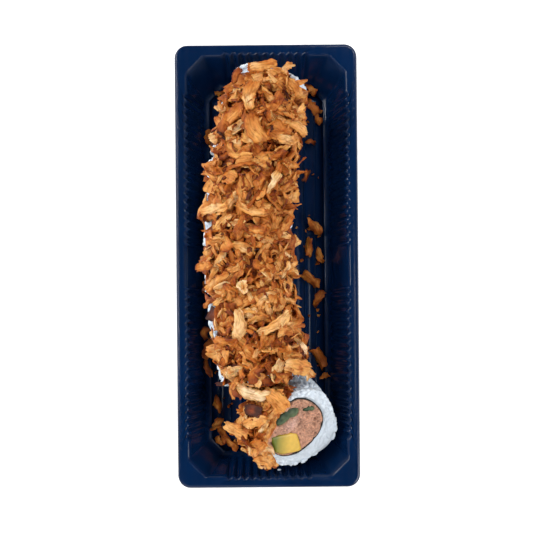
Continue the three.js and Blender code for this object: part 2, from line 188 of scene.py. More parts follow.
# Rings of grains in a cut face: share from the nori to the edge, grains, depth and swing.
FACE_RINGS = ((0.3, 46, 1.05, 0.3), (0.55, 50, 1.05, math.pi / 2), (0.8, 54, 1.35, 0.3))
FACE_DRIFT = 0.4
FACE_SPREAD = 0.08
FACE_ROUGH = (-0.15, 0.2)
CORE_SINK = 1.0
CORE_TONE = 0.97
CORE_SPACING = 1.6
CORE_EDGE = (0.5, 0.9)
CORE_ROUGH = (0.35, 0.4)
# A broken grain that sticks to the tray's front wall.
CRUMB_HALF = (1.0, 0.5, 0.6)
CRUMB_PLACE = (5.0, -100.9, 17.0)

# Fried onions: reach round a slice, lift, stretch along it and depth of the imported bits
ROW_HEAP = ((math.radians(-54), math.radians(65)), (0.9, 4.4), (-0.6, PIECE_THICKNESS + 1.6), 1.2)
LEAN_HEAP = ((math.radians(-95), math.radians(30)), (1.2, 5.4), (3.0, PIECE_THICKNESS + 1.0), 2.2)
HEAP_TOP = 50.3
HEAP_WAVES = (6.5, 0.5)
LUMP = 1.1
CROWN_DROP = 0.5
# The far end, where the onions start late and narrow and lie across.
END_BARE = 4.0
END_SHARE = 0.4
END_WIDENING = 0.05
END_SHIFT = math.radians(20)
END_TURN = 0.5
# Toast from -1 for cream to 4 for nearly burnt: mean and spread, least, and painted shade that darkens flakes
# lower down in the heap.
TOAST = (1.0, 0.65)
TOAST_LEAST = -0.2
PAINTED_SHADE_BELOW = 1.9
# The imported bits under the flakes: a dark sheet that is partly their own toasted colour and partly painted
# shade for the gaps between the flakes.
BED_GRID = (40, 16)
BED_MARGINS = (1, 0.5)
BED_SHARE = 0.9
BED_WAVES = (9, 0.45)
BED_ROUGH = 0.9
BED_BASE = (0.25, 0.2)
BED_TOAST_AND_SHADE = (2.6, 4.0)
# Ranges and limits from which each flake's own shape is drawn.
ANY_PHASE = (0, 6.3)
FLAKE_ENDS = (0.35, 0.9)
FLAKE_TAPERS = (1.6, 5)
FLAKE_ROUNDING = 0.6
FLAKE_WEDGE = 0.35
FLAKE_CURVE = 0.15
FLAKE_FRAY = 0.06
FLAKE_FOLD = 0.5
FOLD_OFFSET = 0.6
FLAKE_THICKNESS = (0.4, 0.8)
FLAKE_REST = 0.1
FIBRE_LAYERS = (0, 90)
TEAR = 0.3
TEAR_SOFTNESS = 2.5
CUP = 0.8
CREASE = 0.5
TWIST = 0.6
LEAST_BEND = 1e-3
TINY = 1e-9
RIM_THINNING = 0.5
RIM_TOAST = (-0.2, 1.2)
PATCH_TOAST = (0, 1.1)
PATCH_WAVES = ((1, 3.5), (0.5, 2.5))
VEIN_TOAST = 0.12
VEIN_WAVES = (5, 9)
# Height and range of waves of a flake's crumples, from broad to fine.
CRUMPLES = ((0.6, 0.3, 0.7), (0.42, 0.7, 1.5), (0.2, 1.5, 2.8))
CRUMPLE_SHARES = (0.3, 1)
# Count, lengths, widths, tilt, bend, grid and layer of sheets, ribbons and bits.
FLAKE_KINDS = (
    (42, (7.5, 13.5), (3.8, 7.0), 0.30, 0.06, (14, 8), (0.1, 1.0)),
    (80, (7, 15), (1.3, 3.3), 0.40, 0.08, (15, 5), (0.1, 1.0)),
    (50, (2.5, 6), (1.2, 2.6), 0.60, 0.1, (6, 4), (0.0, 0.85)),
)
# The same without a layer for flakes on the leaning slice's cut face, and how they lie.
FACE_KIND = (30, (7, 13), (2.2, 4.4), 0.2, 0.06, (14, 6))
FACE_REACH = (math.radians(-86), math.radians(-8))
FACE_RADII = (0.87, 1.06)
FACE_LIFTS = (0.8, 3.0)
FACE_SPLAY = 0.35
FACE_TURN = 0.5
# Flakes that stand out, and how they rest on the heap.
HEAP_PROBE = 2.5
HEAP_UPPERMOST = 97
LARGE_LIFT = 0.6
LARGE_CRUMPLE = 0.4
LARGE_SLOPE = 0.7
LARGE_REST = 0.3
LARGE_TILT = 0.03
LARGE_BEND = 0.03
LARGE_GRID = (20, 9)
# Slice, place seen from above, heading in degrees, length, width and toast of flakes that stand out.
LARGE_FLAKES = (
    (1, -13.5, 84.5, 62, 7.5, 3, 3.0),
    (1, -1, 87.5, 12, 12, 5, 0.9),
    (1, 9.5, 87.5, 62, 11, 4, 0.8),
    (1, 13.5, 78.5, -52, 9, 3.6, 1.2),
    (1, -16, 65, 45, 17, 5.5, 1.9),
    (1, -7, 74, 80, 13, 6.2, 0.7),
    (1, 4, 71, 50, 11, 4.5, 2.1),
    (2, -5, 59, -62, 13.5, 7.5, 1),
    (2, 14, 62, -23, 14, 4.5, 0.9),
    (2, 10, 55, 15, 12, 4, 1),
    (4, -7, 23, -20, 14, 4.2, 0.6),
    (4, -24, 24, 5, 16, 3.6, 0.7),
    (4, -12, 16, 65, 9, 3.8, 2.5),
    (4, -4, 14, 0, 8, 3.8, 1.9),
    (5, -29, -2, 15, 9.5, 4, 1.6),
    (5, -23, -9, 38, 14, 3.6, 1),
    (5, -4, -16, 20, 7, 5, 2.8),
    (5, -11, -12, -70, 6, 4, 0),
    (5, -17, -13, -50, 8, 3, 1.8),
    (6, -13, -29, 88, 14.5, 5.4, 0.3),
    (6, 3, -29, 30, 16, 4.5, 0.5),
    (6, 8, -32, -15, 8, 5, 1.6),
    (7, 13, -48, -20, 15, 7, 0.7),
    (7, -6, -52, 70, 10, 5, 2.9),
    (8, 3, -62.5, -45, 14, 6.5, 1.2),
    # The nearly burnt flake at -7, -68 is painted shade for the shadowed gap where slice 8 leans away from
    # slice 7.
    (8, -7, -68, -15, 10, 6, 3.8),
    (8, -6, -73, 20, 13, 4.8, 1.0),
    (8, -15, -78, -25, 14, 5.4, 0.5),
    (8, -6, -86, 60, 11, 6, 1.4),
    (8, -2.5, -92.5, -25, 9, 5, 1.0),
    (8, -7, -60, -16, 15, 5.6, -0.9),
)
# Flakes on the floor: place, heading in degrees and length.
LOOSE_FLAKES = (
    (-26.6, -69.5, -52, 11),
    (-27, -80, 50, 9),
    (-25.5, -89, -48, 8),
    (22.6, -5.4, -50, 11),
    (26.4, -15.4, 65, 9),
    (24.6, 22, -55, 11),
    (21.6, 11.5, 85, 9),
    (27.2, 7, -70, 8),
    (26.6, -46, -65, 11),
    (24, 84.5, -58, 10),
)
# Further flakes that lie beside the roll: place, heading in degrees and length.
SMALL_FLAKES = (
    (20.5, 89.5, 3, 85, 7),
    (23, 94, 3, -50, 8),
    (26.5, 79, 2.5, -60, 8),
    (23, 66, 3, -10, 6),
    (20.5, 48, 5, 75, 7),
    (19, -37, 4, 80, 7),
    (29, -55.6, 2.5, 30, 5),
    (-24, 92, 2.5, 10, 5),
    (-30, 69, 3.5, 80, 8),
    (-32, -9, 9, 70, 7),
    (-32, -33, 10, 85, 9),
    (-31, -41, 8, 60, 10),
    (-31, -51, 7, -70, 9),
    (-20, -90, 3.5, -35, 10),
    (-24, -85, 3, -60, 9),
)
# Width as a share of the length, bend, grid, toast and crumple of these and of the crumbs; their toast is
# darker than the heap's as painted shade for the shadow they lie in on the tray's floor.
LOOSE_KIND = (0.42, 0.1, (16, 7), (1.7, 2.8), 1.6)
SMALL_KIND = (0.4, 0.1, (14, 6), (1.7, 2.9), 1.6)
CRUMB_KIND = (0.6, 0.1, (6, 4), (1.2, 3.0), 1.0)
LOOSE_TILT = 0.08
LOOSE_LIFT = 1.3
SMALL_TILT = 0.12
SMALL_LEAN = 0.08
SMALL_LEVEL = 2
LOOSE_CRUMBS = 45
CRUMB_LENGTHS = (0.7, 2.2)
CRUMB_TILT = 0.15
CRUMB_FIELD = (29, 92)
CRUMB_LIFT = 0.6
LEAN_START = -56

# Colours, linear
CREAM = (0.93, 0.70, 0.43)
PALE_GOLD = (0.76, 0.46, 0.195)
GOLD = (0.70, 0.315, 0.078)
AMBER = (0.50, 0.145, 0.018)
RUST = (0.25, 0.047, 0.006)
CHAR = (0.05, 0.009, 0.003)
NAVY = (0.0011, 0.0130, 0.053)
RICE_WHITE = (0.71, 0.785, 0.87)
NORI_BLACK = (0.008, 0.010, 0.009)
TUNA_PINK = (0.49, 0.25, 0.16)
TUNA_PALE = (0.65, 0.41, 0.34)
AVOCADO_YELLOW = (0.74, 0.465, 0.068)
AVOCADO_GREEN = (0.14, 0.175, 0.010)
CUCUMBER_SKIN = (0.016, 0.04, 0.014)
CUCUMBER_FLESH = (0.14, 0.19, 0.08)
FLOOR_WHITE = (0.88, 0.88, 0.88)
WALL_GREY = (0.9, 0.9, 0.9)
CEILING_GREY = (0.02, 0.021, 0.024)

# Looks: a noise has a scale, a detail and a stretch, and a bump has a strength and a depth
NOISE_BAND = (0.3, 0.7)
NAVY_CLOUD = (60, 3)
NAVY_SHADES = (0.85, 1.15)
NAVY_STREAK = (90, 4, (6, 0.25, 1))
NAVY_GLOSS = (0.10, 0.24)
NAVY_SPECULAR = 0.3
NAVY_BUMP = (0.05, 0.0003)
FIBRES = (1, 4, (0.3, 1.5, 1))
FIBRE_TINTS = ((0.3, (0.62, 0.50, 0.38)), (0.5, (1, 1, 1)), (0.72, (1.15, 1.2, 1.3)))
FIBRE_BUMP = (0.7, 0.0005)
BLOTS = (380, 3)
BLOT_TINTS = ((0.32, (0.66, 0.50, 0.36)), (0.5, (1, 1, 1)), (0.7, (1.08, 1.12, 1.18)))
ONION_SPREAD = (1.0, 0.4, 0.15)
FOOD_SPREAD = (1.0, 0.5, 0.25)
RICE_SPREAD = (0.5, 0.5, 0.5)
SCATTER_SCALE = 0.0015
GRAIN_DETAIL = 5
# Roughness, scale, depth and strength of the grain, specular, scatter, tints and spread of it.
FOOD_FINISHES = {
    "rice": (0.6, 900, 0.0002, 0.15, 0.15, 0.4, (0.96, 1.03), RICE_SPREAD),
    "nori": (0.45, 700, 0.0003, 0.5, 0.4, 0.0, (0.82, 1.12), FOOD_SPREAD),
    "tuna": (0.5, 1100, 0.0005, 0.8, 0.3, 0.1, (0.68, 1.22), FOOD_SPREAD),
    "avocado": (0.38, 500, 0.0002, 0.15, 0.45, 0.15, (0.92, 1.06), FOOD_SPREAD),
    "cucumber": (0.45, 600, 0.0002, 0.3, 0.3, 0.1, (0.82, 1.12), FOOD_SPREAD),
}

# Studio: walls, floor and lights, in metres
HORIZON_TOP = 0.35
HORIZON_FADE = 0.2
FLOOR_HALF = 3.0
FLOOR_DROP = -0.0003
TRAY_MIDDLE = (0, 0, 0.02)
# Name, place, aim, length and height of the soft box, and power.
LIGHTS = (
    ("key", (-0.70, 0.25, 0.64), TRAY_MIDDLE, (0.9, 0.08), 7.0),
    ("strip", (-0.42, 0.12, 1.0), TRAY_MIDDLE, (0.8, 0.02), 1.2),
    ("fill", (0.6, -0.45, 0.64), TRAY_MIDDLE, (0.44, 0.44), 5.0),
    ("front", (-0.2, -0.65, 0.73), TRAY_MIDDLE, (0.44, 0.44), 1.2),
    ("back", (0.3, 0.6, 0.8), TRAY_MIDDLE, (0.4, 0.06), 2.2),
    ("edge", (0.19, -0.03, 1.0), (0.19, -0.03, 0), (0.04, 0.3), 0.3),
)

# Camera, from the photograph's 540 x 540 frame
IMAGE_SIZE = 540
FOCAL_PIXELS = 629.5
PRINCIPAL_POINT = (267.9, 327.2)
CAMERA_PLACE = (0, -30, 330)
CAMERA_ROLL = math.radians(-0.5)
SENSOR = 36


def lerp(a, b, share):
    return a + (b - a) * share


def make_piece(name, vertices, faces, material, nodes=(), tones=None, grain=None):
    """A smooth mesh object from points in millimetres, riding on the part's only body."""
    mesh = bpy.data.meshes.new(name)
    mesh.from_pydata((np.asarray(vertices) * MM).tolist(), [], [list(face) for face in faces])
    mesh.polygons.foreach_set("use_smooth", np.ones(len(mesh.polygons), dtype=bool))
    if tones is not None:
        layer = mesh.color_attributes.new("tone", "FLOAT_COLOR", "POINT")
        rgba = np.ones((len(tones), 4))
        rgba[:, :3] = tones
        layer.data.foreach_set("color", rgba.ravel())
    if grain is not None:
        layer = mesh.attributes.new("grain", "FLOAT_VECTOR", "POINT")
        layer.data.foreach_set("vector", np.asarray(grain, dtype=np.float32).ravel())
    mesh.materials.append(material)
    mesh.update()
    piece = bpy.data.objects.new(name, mesh)
    bpy.context.scene.collection.objects.link(piece)
    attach(piece, "root")
    if nodes:
        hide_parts(*nodes)
    return piece


class Joined:
    """Points, faces and colours of several parts, gathered for one mesh."""

    def __init__(self):
        self.points = []
        self.faces = []
        self.tones = []
        self.grain = []
        self.count = 0

    def add(self, points, faces, tones=None, grain=None):
        self.points.append(points)
        self.faces.extend((np.asarray(face) + self.count).tolist() for face in faces)
        if tones is not None:
            self.tones.append(np.broadcast_to(tones, (len(points), 3)))
        if grain is not None:
            self.grain.append(grain)
        self.count += len(points)

    def piece(self, name, material, slot, nodes=()):
        tones = np.concatenate(self.tones) if self.tones else None
        grain = np.concatenate(self.grain) if self.grain else None
        return make_piece(name, np.concatenate(self.points), self.faces, material, nodes, tones, grain)


# Materials


def new_material(name):
    material = bpy.data.materials.new(name)
    material.use_nodes = True
    tree = material.node_tree
    return material, tree, tree.nodes["Principled BSDF"]


def set_inputs(node, **values):
    """Constant inputs of a node, by their names with underscores for spaces."""
    for name, value in values.items():
        node.inputs[name.replace("_", " ")].default_value = value


def mapped_noise(tree, place, scale, detail, stretch=(1, 1, 1)):
    """Noise in given coordinates."""
    mapping = tree.nodes.new("ShaderNodeMapping")
    set_inputs(mapping, Scale=stretch)
    texture = tree.nodes.new("ShaderNodeTexNoise")
    set_inputs(texture, Scale=scale, Detail=detail)
    tree.links.new(place, mapping.inputs["Vector"])
    tree.links.new(mapping.outputs["Vector"], texture.inputs["Vector"])
    return texture.outputs["Fac"]


def own_noise(tree, *settings):
    """Noise in the object's own coordinates."""
    return mapped_noise(tree, tree.nodes.new("ShaderNodeTexCoord").outputs["Object"], *settings)


def add_bump(tree, shader, source, strength, distance):
    bump = tree.nodes.new("ShaderNodeBump")
    set_inputs(bump, Strength=strength, Distance=distance)
    tree.links.new(source, bump.inputs["Height"])
    tree.links.new(bump.outputs["Normal"], shader.inputs["Normal"])


def add_ramp(tree, source, stops):
    ramp = tree.nodes.new("ShaderNodeValToRGB")
    elements = ramp.color_ramp.elements
    while len(elements) < len(stops):
        elements.new(0.5)
    for element, (position, colour) in zip(elements, stops):
        element.position = position
        element.color = (*colour, 1)
    tree.links.new(source, ramp.inputs["Fac"])
    return ramp.outputs["Color"]


def scaled(colour, factor):
    return tuple(channel * factor for channel in colour)


def band(low, high):
    """Ramp stops for the middle of a noise's range."""
    return (NOISE_BAND[0], low), (NOISE_BAND[1], high)


def plastic_material():
    material, tree, shader = new_material("navy_plastic")
    shades = band(*(scaled(NAVY, factor) for factor in NAVY_SHADES))
    tree.links.new(add_ramp(tree, own_noise(tree, *NAVY_CLOUD), shades), shader.inputs["Base Color"])
    streak = own_noise(tree, *NAVY_STREAK)
    gloss = band(*((level,) * 3 for level in NAVY_GLOSS))
    tree.links.new(add_ramp(tree, streak, gloss), shader.inputs["Roughness"])
    set_inputs(shader, Specular_IOR_Level=NAVY_SPECULAR)
    add_bump(tree, shader, streak, *NAVY_BUMP)
    return material


def tone_colour(tree):
    """The colours that a mesh carries."""
    tone = tree.nodes.new("ShaderNodeVertexColor")
    tone.layer_name = "tone"
    return tone.outputs["Color"]


def toned_material(name, roughness, grain_scale, grain_depth, strength, specular, scatter, tint, spread):
    """A food whose colour comes from the mesh, varied by fine grain."""
    material, tree, shader = new_material(name)
    tone = tone_colour(tree)
    grain = own_noise(tree, grain_scale, GRAIN_DETAIL)
    shade = add_ramp(tree, grain, band(*((level,) * 3 for level in tint)))
    tree.links.new(times(tree, tone, shade), shader.inputs["Base Color"])
    set_inputs(shader, Roughness=roughness, Specular_IOR_Level=specular, Subsurface_Weight=scatter)
    set_inputs(shader, Subsurface_Radius=spread, Subsurface_Scale=SCATTER_SCALE)
    add_bump(tree, shader, grain, strength, grain_depth)
    return material


def times(tree, a, b):
    mix = tree.nodes.new("ShaderNodeMix")
    mix.data_type = "RGBA"
    mix.blend_type = "MULTIPLY"
    set_inputs(mix, Factor=1)
    tree.links.new(a, mix.inputs["A"])
    tree.links.new(b, mix.inputs["B"])
    return mix.outputs["Result"]


def onion_material():
    """Crisp oily onion: toasted colours with fibres along each flake and browned blots."""
    material, tree, shader = new_material("fried_onion")
    tone = tone_colour(tree)
    grain = tree.nodes.new("ShaderNodeAttribute")
    grain.attribute_name = "grain"
    fibres = mapped_noise(tree, grain.outputs["Vector"], *FIBRES)
    streaks = add_ramp(tree, fibres, FIBRE_TINTS)
    browned = add_ramp(tree, own_noise(tree, *BLOTS), BLOT_TINTS)
    tree.links.new(times(tree, times(tree, tone, streaks), browned), shader.inputs["Base Color"])
    set_inputs(shader, Roughness=0.48, Specular_IOR_Level=0.2, Subsurface_Weight=0.2)
    set_inputs(shader, Subsurface_Radius=ONION_SPREAD, Subsurface_Scale=0.001)
    add_bump(tree, shader, fibres, *FIBRE_BUMP)
    return material


def floor_material():
    material, _, shader = new_material("pale_floor")
    set_inputs(shader, Base_Color=(*FLOOR_WHITE, 1), Roughness=0.9)
    set_inputs(shader, Emission_Color=(1, 1, 1, 1), Emission_Strength=0.6)
    return material


# Tray


def perimeter():
    """Stations round half of the tray's opening, as arrays that any ring of it is made from."""
    panel = LOCK_PANEL / 2
    side_run = SIDE_FLUTES * FLUTE_PITCH
    end_run = END_FLUTES * FLUTE_PITCH / 2

    def flutes(start, count):
        steps = np.arange(count * FLUTE_STEPS + 1) / FLUTE_STEPS
        return np.stack([start + steps * FLUTE_PITCH, 0 * steps, (1 - np.cos(2 * np.pi * steps)) / 2], 1)

    def plain(place, sign):
        shares = np.linspace(PLAIN_LEAST, 1, PLAIN_STEPS)[::sign]
        return np.stack([0 * shares + place, sign * shares, 0 * shares], 1)

    eases = np.linspace(0, 1, PLAIN_STEPS)
    ease_wave = (1 - np.cos(np.pi * eases)) / 2
    panel_in = np.stack([-panel + eases * LOCK_EASE, 0 * eases, ease_wave], 1)[1:]
    panel_out = np.stack([panel - LOCK_EASE + eases * LOCK_EASE, 0 * eases, ease_wave[::-1]], 1)[:-1]
    side = np.concatenate([
        plain(-panel - side_run, -1),
        flutes(-panel - side_run, SIDE_FLUTES),
        panel_in,
        panel_out,
        flutes(panel, SIDE_FLUTES),
        plain(panel + side_run, 1),
    ])
    end = np.concatenate([plain(-end_run, -1), flutes(-end_run, END_FLUTES), plain(end_run, 1)])
    return side, end, panel + side_run, end_run


SIDE, END, SIDE_END, END_END = perimeter()


def full_ring(parts, z):
    """A level ring from the parts of one half, which the other half repeats turned round."""
    half = np.concatenate(parts)
    flat = np.concatenate([half, -half])
    return np.column_stack([flat, np.full(len(flat), z)])


def wall_ring(z, grow, flute=1.0):
    """The fluted wall's outline for a height, grown outwards."""
    share = (z - SHEET) / (TRAY_HEIGHT - SHEET)
    rim_x = TRAY_WIDTH / 2 - RIM_BAND
    rim_y = TRAY_LENGTH / 2 - RIM_BAND
    x = lerp(rim_x - SIDE_LEAN, rim_x, share) + grow
    y = lerp(rim_y - END_LEAN, rim_y, share) + grow
    chamfer = lerp(FLOOR_CHAMFER, RIM_CHAMFER, share) + grow * (2 - math.sqrt(2))
    depth = lerp(FLUTE_AT_FLOOR, FLUTE_AT_RIM, share) * flute
    side_y = SIDE[:, 0] + SIDE[:, 1] * (y - chamfer - SIDE_END)
    end_x = -(END[:, 0] + END[:, 1] * (x - chamfer - END_END))
    side = np.stack([x + depth * SIDE[:, 2], side_y], 1)
    end = np.stack([end_x, y + depth * END[:, 2]], 1)
    shares = np.arange(1, CORNER_STEPS)[:, None] / CORNER_STEPS
    return full_ring([side, lerp(side[-1], end[0], shares), end, lerp(end[-1], -side[0], shares)], z)


def lip_ring(inset, z):
    """A rounded rectangle with the wall's stations, for the rim's outer edge."""
    straight_x = TRAY_WIDTH / 2 - RIM_RADIUS
    straight_y = TRAY_LENGTH / 2 - RIM_RADIUS
    rim = wall_ring(TRAY_HEIGHT, 0)
    side_y = rim[: len(SIDE), 1]
    end_x = rim[len(SIDE) + CORNER_STEPS - 1 :][: len(END), 0]
    side = np.stack([np.full(len(SIDE), TRAY_WIDTH / 2 - inset), side_y * straight_y / side_y.max()], 1)
    end = np.stack([end_x * straight_x / end_x.max(), np.full(len(END), TRAY_LENGTH / 2 - inset)], 1)
    angles = np.arange(1, CORNER_STEPS) / CORNER_STEPS * np.pi / 2
    radius = RIM_RADIUS - inset
    arc = np.stack([straight_x + radius * np.cos(angles), straight_y + radius * np.sin(angles)], 1)
    return full_ring([side, arc, end, arc[::-1] * np.array((-1, 1))], z)


def bezier(p0, p1, p2, steps):
    shares = np.linspace(0, 1, steps + 1)[:, None]
    a, b, c = (np.array(p, dtype=float) for p in (p0, p1, p2))
    return (1 - shares) ** 2 * a + 2 * shares * (1 - shares) * b + shares**2 * c


def tray_rings():
    """Rings from the floor's upper edge, up the inside, over the rim and down the outside."""
    rings = []
    for grow, z in bezier((-FLOOR_FILLET, SHEET), (0, SHEET), (0, SHEET + FLOOR_FILLET), 6):
        share = (z - SHEET) / FLOOR_FILLET
        rings.append(wall_ring(z, grow, flute=share))
    for rise in np.linspace(*INNER_RISES, 5):
        rings.append(wall_ring(lerp(SHEET, TRAY_HEIGHT, rise), 0))
    for grow, z in bezier((0, TRAY_HEIGHT - 2 * RIM_FILLET), (0, TRAY_HEIGHT), (RIM_FILLET, TRAY_HEIGHT), 5):
        rings.append(wall_ring(z, grow))
    rings.append(lip_ring(LIP_BEVEL + LIP_MARGIN, TRAY_HEIGHT))
    edge = bezier((LIP_BEVEL, TRAY_HEIGHT), (0, TRAY_HEIGHT), (0, TRAY_HEIGHT - LIP_DROP), 8)
    for inset, z in edge:
        rings.append(lip_ring(inset, z))
    for inset, z in edge[::-1]:
        rings.append(lip_ring(inset + SHEET, min(z, TRAY_HEIGHT - SHEET)))
    rings.append(wall_ring(TRAY_HEIGHT - SHEET, SHEET + RIM_FILLET))
    for rise in np.linspace(*OUTER_RISES, 4):
        rings.append(wall_ring(lerp(SHEET, TRAY_HEIGHT, rise), SHEET))
    for grow, z in bezier((SHEET, FLOOR_FILLET), (SHEET / 2, 0), (SHEET - FLOOR_FILLET, 0), 5):
        rings.append(wall_ring(z, grow, flute=z / FLOOR_FILLET))
    return rings


def triangulated(points, edges):
    """A flat triangulation that keeps edges: its points, its faces and the points they come from."""
    flat, _, faces, origins, _, _ = geometry.delaunay_2d_cdt([Vector(p) for p in points], edges, [], 1, MERGE)
    return np.array([p[:] for p in flat]), faces, origins


def rib_height(x, y):
    """Height of the floor's ribs over the flat, which run out at both ends."""
    place = x / RIB_PITCH + (RIB_COUNT - 1) / 2
    index = np.clip(np.round(place), 0, RIB_COUNT - 1)
    off = np.abs(place - index) * RIB_PITCH / (RIB_BASE / 2)
    bump = np.where(off < 1, (1 + np.cos(np.pi * np.minimum(off, 1))) / 2, 0)
    runout = np.clip((RIB_HALF_LENGTH - np.abs(y)) / RIB_RUNOUT, 0, 1)
    return RIB_HEIGHT * bump * runout * runout * (3 - 2 * runout)


def floor_cap(ring):
    """Triangles that close a ring with the ribs' lines in them, as new points and faces."""
    count = len(ring)
    points = [p[:2] for p in ring]
    edges = [(i, (i + 1) % count) for i in range(count)]
    ends = np.linspace(0, RIB_RUNOUT, RIB_END_STEPS)
    even = RIB_HALF_LENGTH - RIB_RUNOUT
    lengthwise = np.concatenate([
        ends - RIB_HALF_LENGTH,
        np.linspace(-even, even, RIB_STEPS)[1:-1],
        RIB_HALF_LENGTH - ends[::-1],
    ])
    for rib in range(RIB_COUNT):
        for offset in np.linspace(-1, 1, RIB_LINES) * RIB_BASE / 2:
            x = (rib - (RIB_COUNT - 1) / 2) * RIB_PITCH + offset
            start = len(points)
            points.extend((x, y) for y in lengthwise)
            edges.extend((start + i, start + i + 1) for i in range(len(lengthwise) - 1))
    return triangulated(points, edges)


def build_tray(material):
    rings = tray_rings()
    count = len(rings[0])
    points = list(np.concatenate(rings))
    faces = []
    for r in range(len(rings) - 1):
        for i in range(count):
            j = (i + 1) % count
            faces.append((r * count + i, r * count + j, (r + 1) * count + j, (r + 1) * count + i))
    for ring_index, base, flip in ((0, SHEET, False), (len(rings) - 1, 0, True)):
        flat, triangles, origins = floor_cap(rings[ring_index])
        heights = base + rib_height(flat[:, 0], flat[:, 1])
        lookup = []
        for i, origin in enumerate(origins):
            on_ring = [o for o in origin if o < count]
            if on_ring:
                lookup.append(ring_index * count + on_ring[0])
            else:
                lookup.append(len(points))
                points.append((flat[i, 0], flat[i, 1], heights[i]))
        for triangle in triangles:
            corners = [lookup[i] for i in triangle]
            faces.append(corners[::-1] if flip else corners)
    make_piece("tray_shell", points, faces, material, ["tray"])


# Slices


def slice_frames():
    """Each slice's turn, origin and end widths: x right of its cut face, y up, z out of the face."""
    half = ROLL_HALF_HEIGHT + RICE_BUMP
    places = []
    for i in range(PIECES - 1):
        turn = ROW_START - i * ROW_STEP
        x = ROW_CENTRE[0] - ROW_RADIUS * math.cos(turn)
        y = ROW_CENTRE[1] + ROW_RADIUS * math.sin(turn)
        places.append(((x, y, ROLL_FLOOR + half), -turn, math.pi / 2))
    lean = LEAN_FROM_VERTICAL
    middle = half * math.sin(lean) + PIECE_THICKNESS / 2 * math.cos(lean)
    places.append(((*LEAN_CENTRE, ROLL_FLOOR + middle), LEAN_HEADING, lean))
    frames = []
    for centre, heading, tilt in places:
        turn = np.array(Matrix.Rotation(heading, 3, "Z") @ Matrix.Rotation(tilt, 3, "X"))
        origin = np.array(centre) - turn @ np.array((0, 0, PIECE_THICKNESS / 2))
        widths = ROLL_TAPER[len(frames):len(frames) + 2]
        frames.append((turn, origin, widths if len(widths) == 2 else (1, 1)))
    return frames


def placed(points, place):
    """Points of a slice's own axes set in the tray, narrowed as the roll is there."""
    turn, origin, (far, near) = place
    width = lerp(far, near, points[:, 2] / PIECE_THICKNESS)
    return points * np.stack([width, 0 * width + 1, 0 * width + 1], 1) @ turn.T + origin


def around(angle, radius, z):
    """Points at angles from the top towards the right, in a slice's own axes."""
    return np.stack(np.broadcast_arrays(radius * np.sin(angle), radius * np.cos(angle), z), -1)


def oval_radius(angle, half_width, half_height, squareness):
    """Distance to a squarish oval by the angle from its top towards the right."""
    x = np.abs(np.sin(angle)) / half_width
    y = np.abs(np.cos(angle)) / half_height
    return (x**squareness + y**squareness) ** (-1 / squareness)


def roll_radius(angle):
    return oval_radius(angle, ROLL_HALF_WIDTH, ROLL_HALF_HEIGHT, ROLL_SQUARENESS)


def lean_push(angle):
    """How far the leaning slice's cut face bulges out, or is pressed in, at an angle."""

    def hump(height, middle, spread):
        return height * np.exp(-(((np.mod(angle, 2 * np.pi) - middle) / spread) ** 2))

    return hump(*LEAN_BULGE) - hump(*LEAN_FLAT)


def nori_radius(angle, grow=0.0):
    """Distance from the nori's own middle to its outline."""
    return oval_radius(angle, NORI_HALF_WIDTH + grow, NORI_HALF_HEIGHT + grow, NORI_SQUARENESS)


def nori_loop(grow, steps, wobble=0, rng=None):
    half_width, half_height = NORI_HALF_WIDTH + grow, NORI_HALF_HEIGHT + grow
    return oval_loop(half_width, half_height, NORI_SQUARENESS, steps, wobble, rng) + np.array(NORI_CENTRE)


def wave(values, rng, size):
    """A smooth closed wobble of a few random waves round a loop."""
    total = np.zeros_like(values)
    for order in WOBBLE_WAVES:
        height = size / len(WOBBLE_WAVES) * rng.uniform(0.5, 1.5)
        total += height * np.sin(order * values + rng.uniform(0, 2 * np.pi))
    return total


def oval_loop(half_width, half_height, squareness, steps, wobble=0, rng=None):
    angles = -np.arange(steps) * 2 * np.pi / steps
    radius = oval_radius(angles, half_width, half_height, squareness)
    if rng is not None:
        radius = radius + wave(angles, rng, wobble)
    return np.stack([radius * np.sin(angles), radius * np.cos(angles)], 1)


def bar_loop(centre, length, width, turn, steps, squareness, skew, ragged):
    loop = oval_loop(length / 2, width / 2, squareness, steps, ragged, np.random.default_rng(RAGGED_SEED))
    loop[:, 0] += skew * loop[:, 1]
    c, s = math.cos(turn), math.sin(turn)
    return loop @ np.array(((c, s), (-s, c))) + np.array(centre)


def inside(points, loop):
    """Which points lie inside a closed loop."""
    x, y = points[:, 0], points[:, 1]
    result = np.zeros(len(points), dtype=bool)
    for (ax, ay), (bx, by) in zip(loop, np.roll(loop, -1, axis=0)):
        crosses = (ay > y) != (by > y)
        at = ax + (y - ay) * (bx - ax) / (by - ay if by != ay else TINY)
        result ^= crosses & (x < at)
    return result


def edge_distance(points, loops):
    """Distance from each point to the nearest point of the loops."""
    nearest = np.full(len(points), np.inf)
    for loop in loops:
        for a, b in zip(loop, np.roll(loop, -1, axis=0)):
            along = b - a
            share = np.clip(((points - a) @ along) / (along @ along), 0, 1)
            gap = np.linalg.norm(points - a - share[:, None] * along, axis=1)
            nearest = np.minimum(nearest, gap)
    return nearest


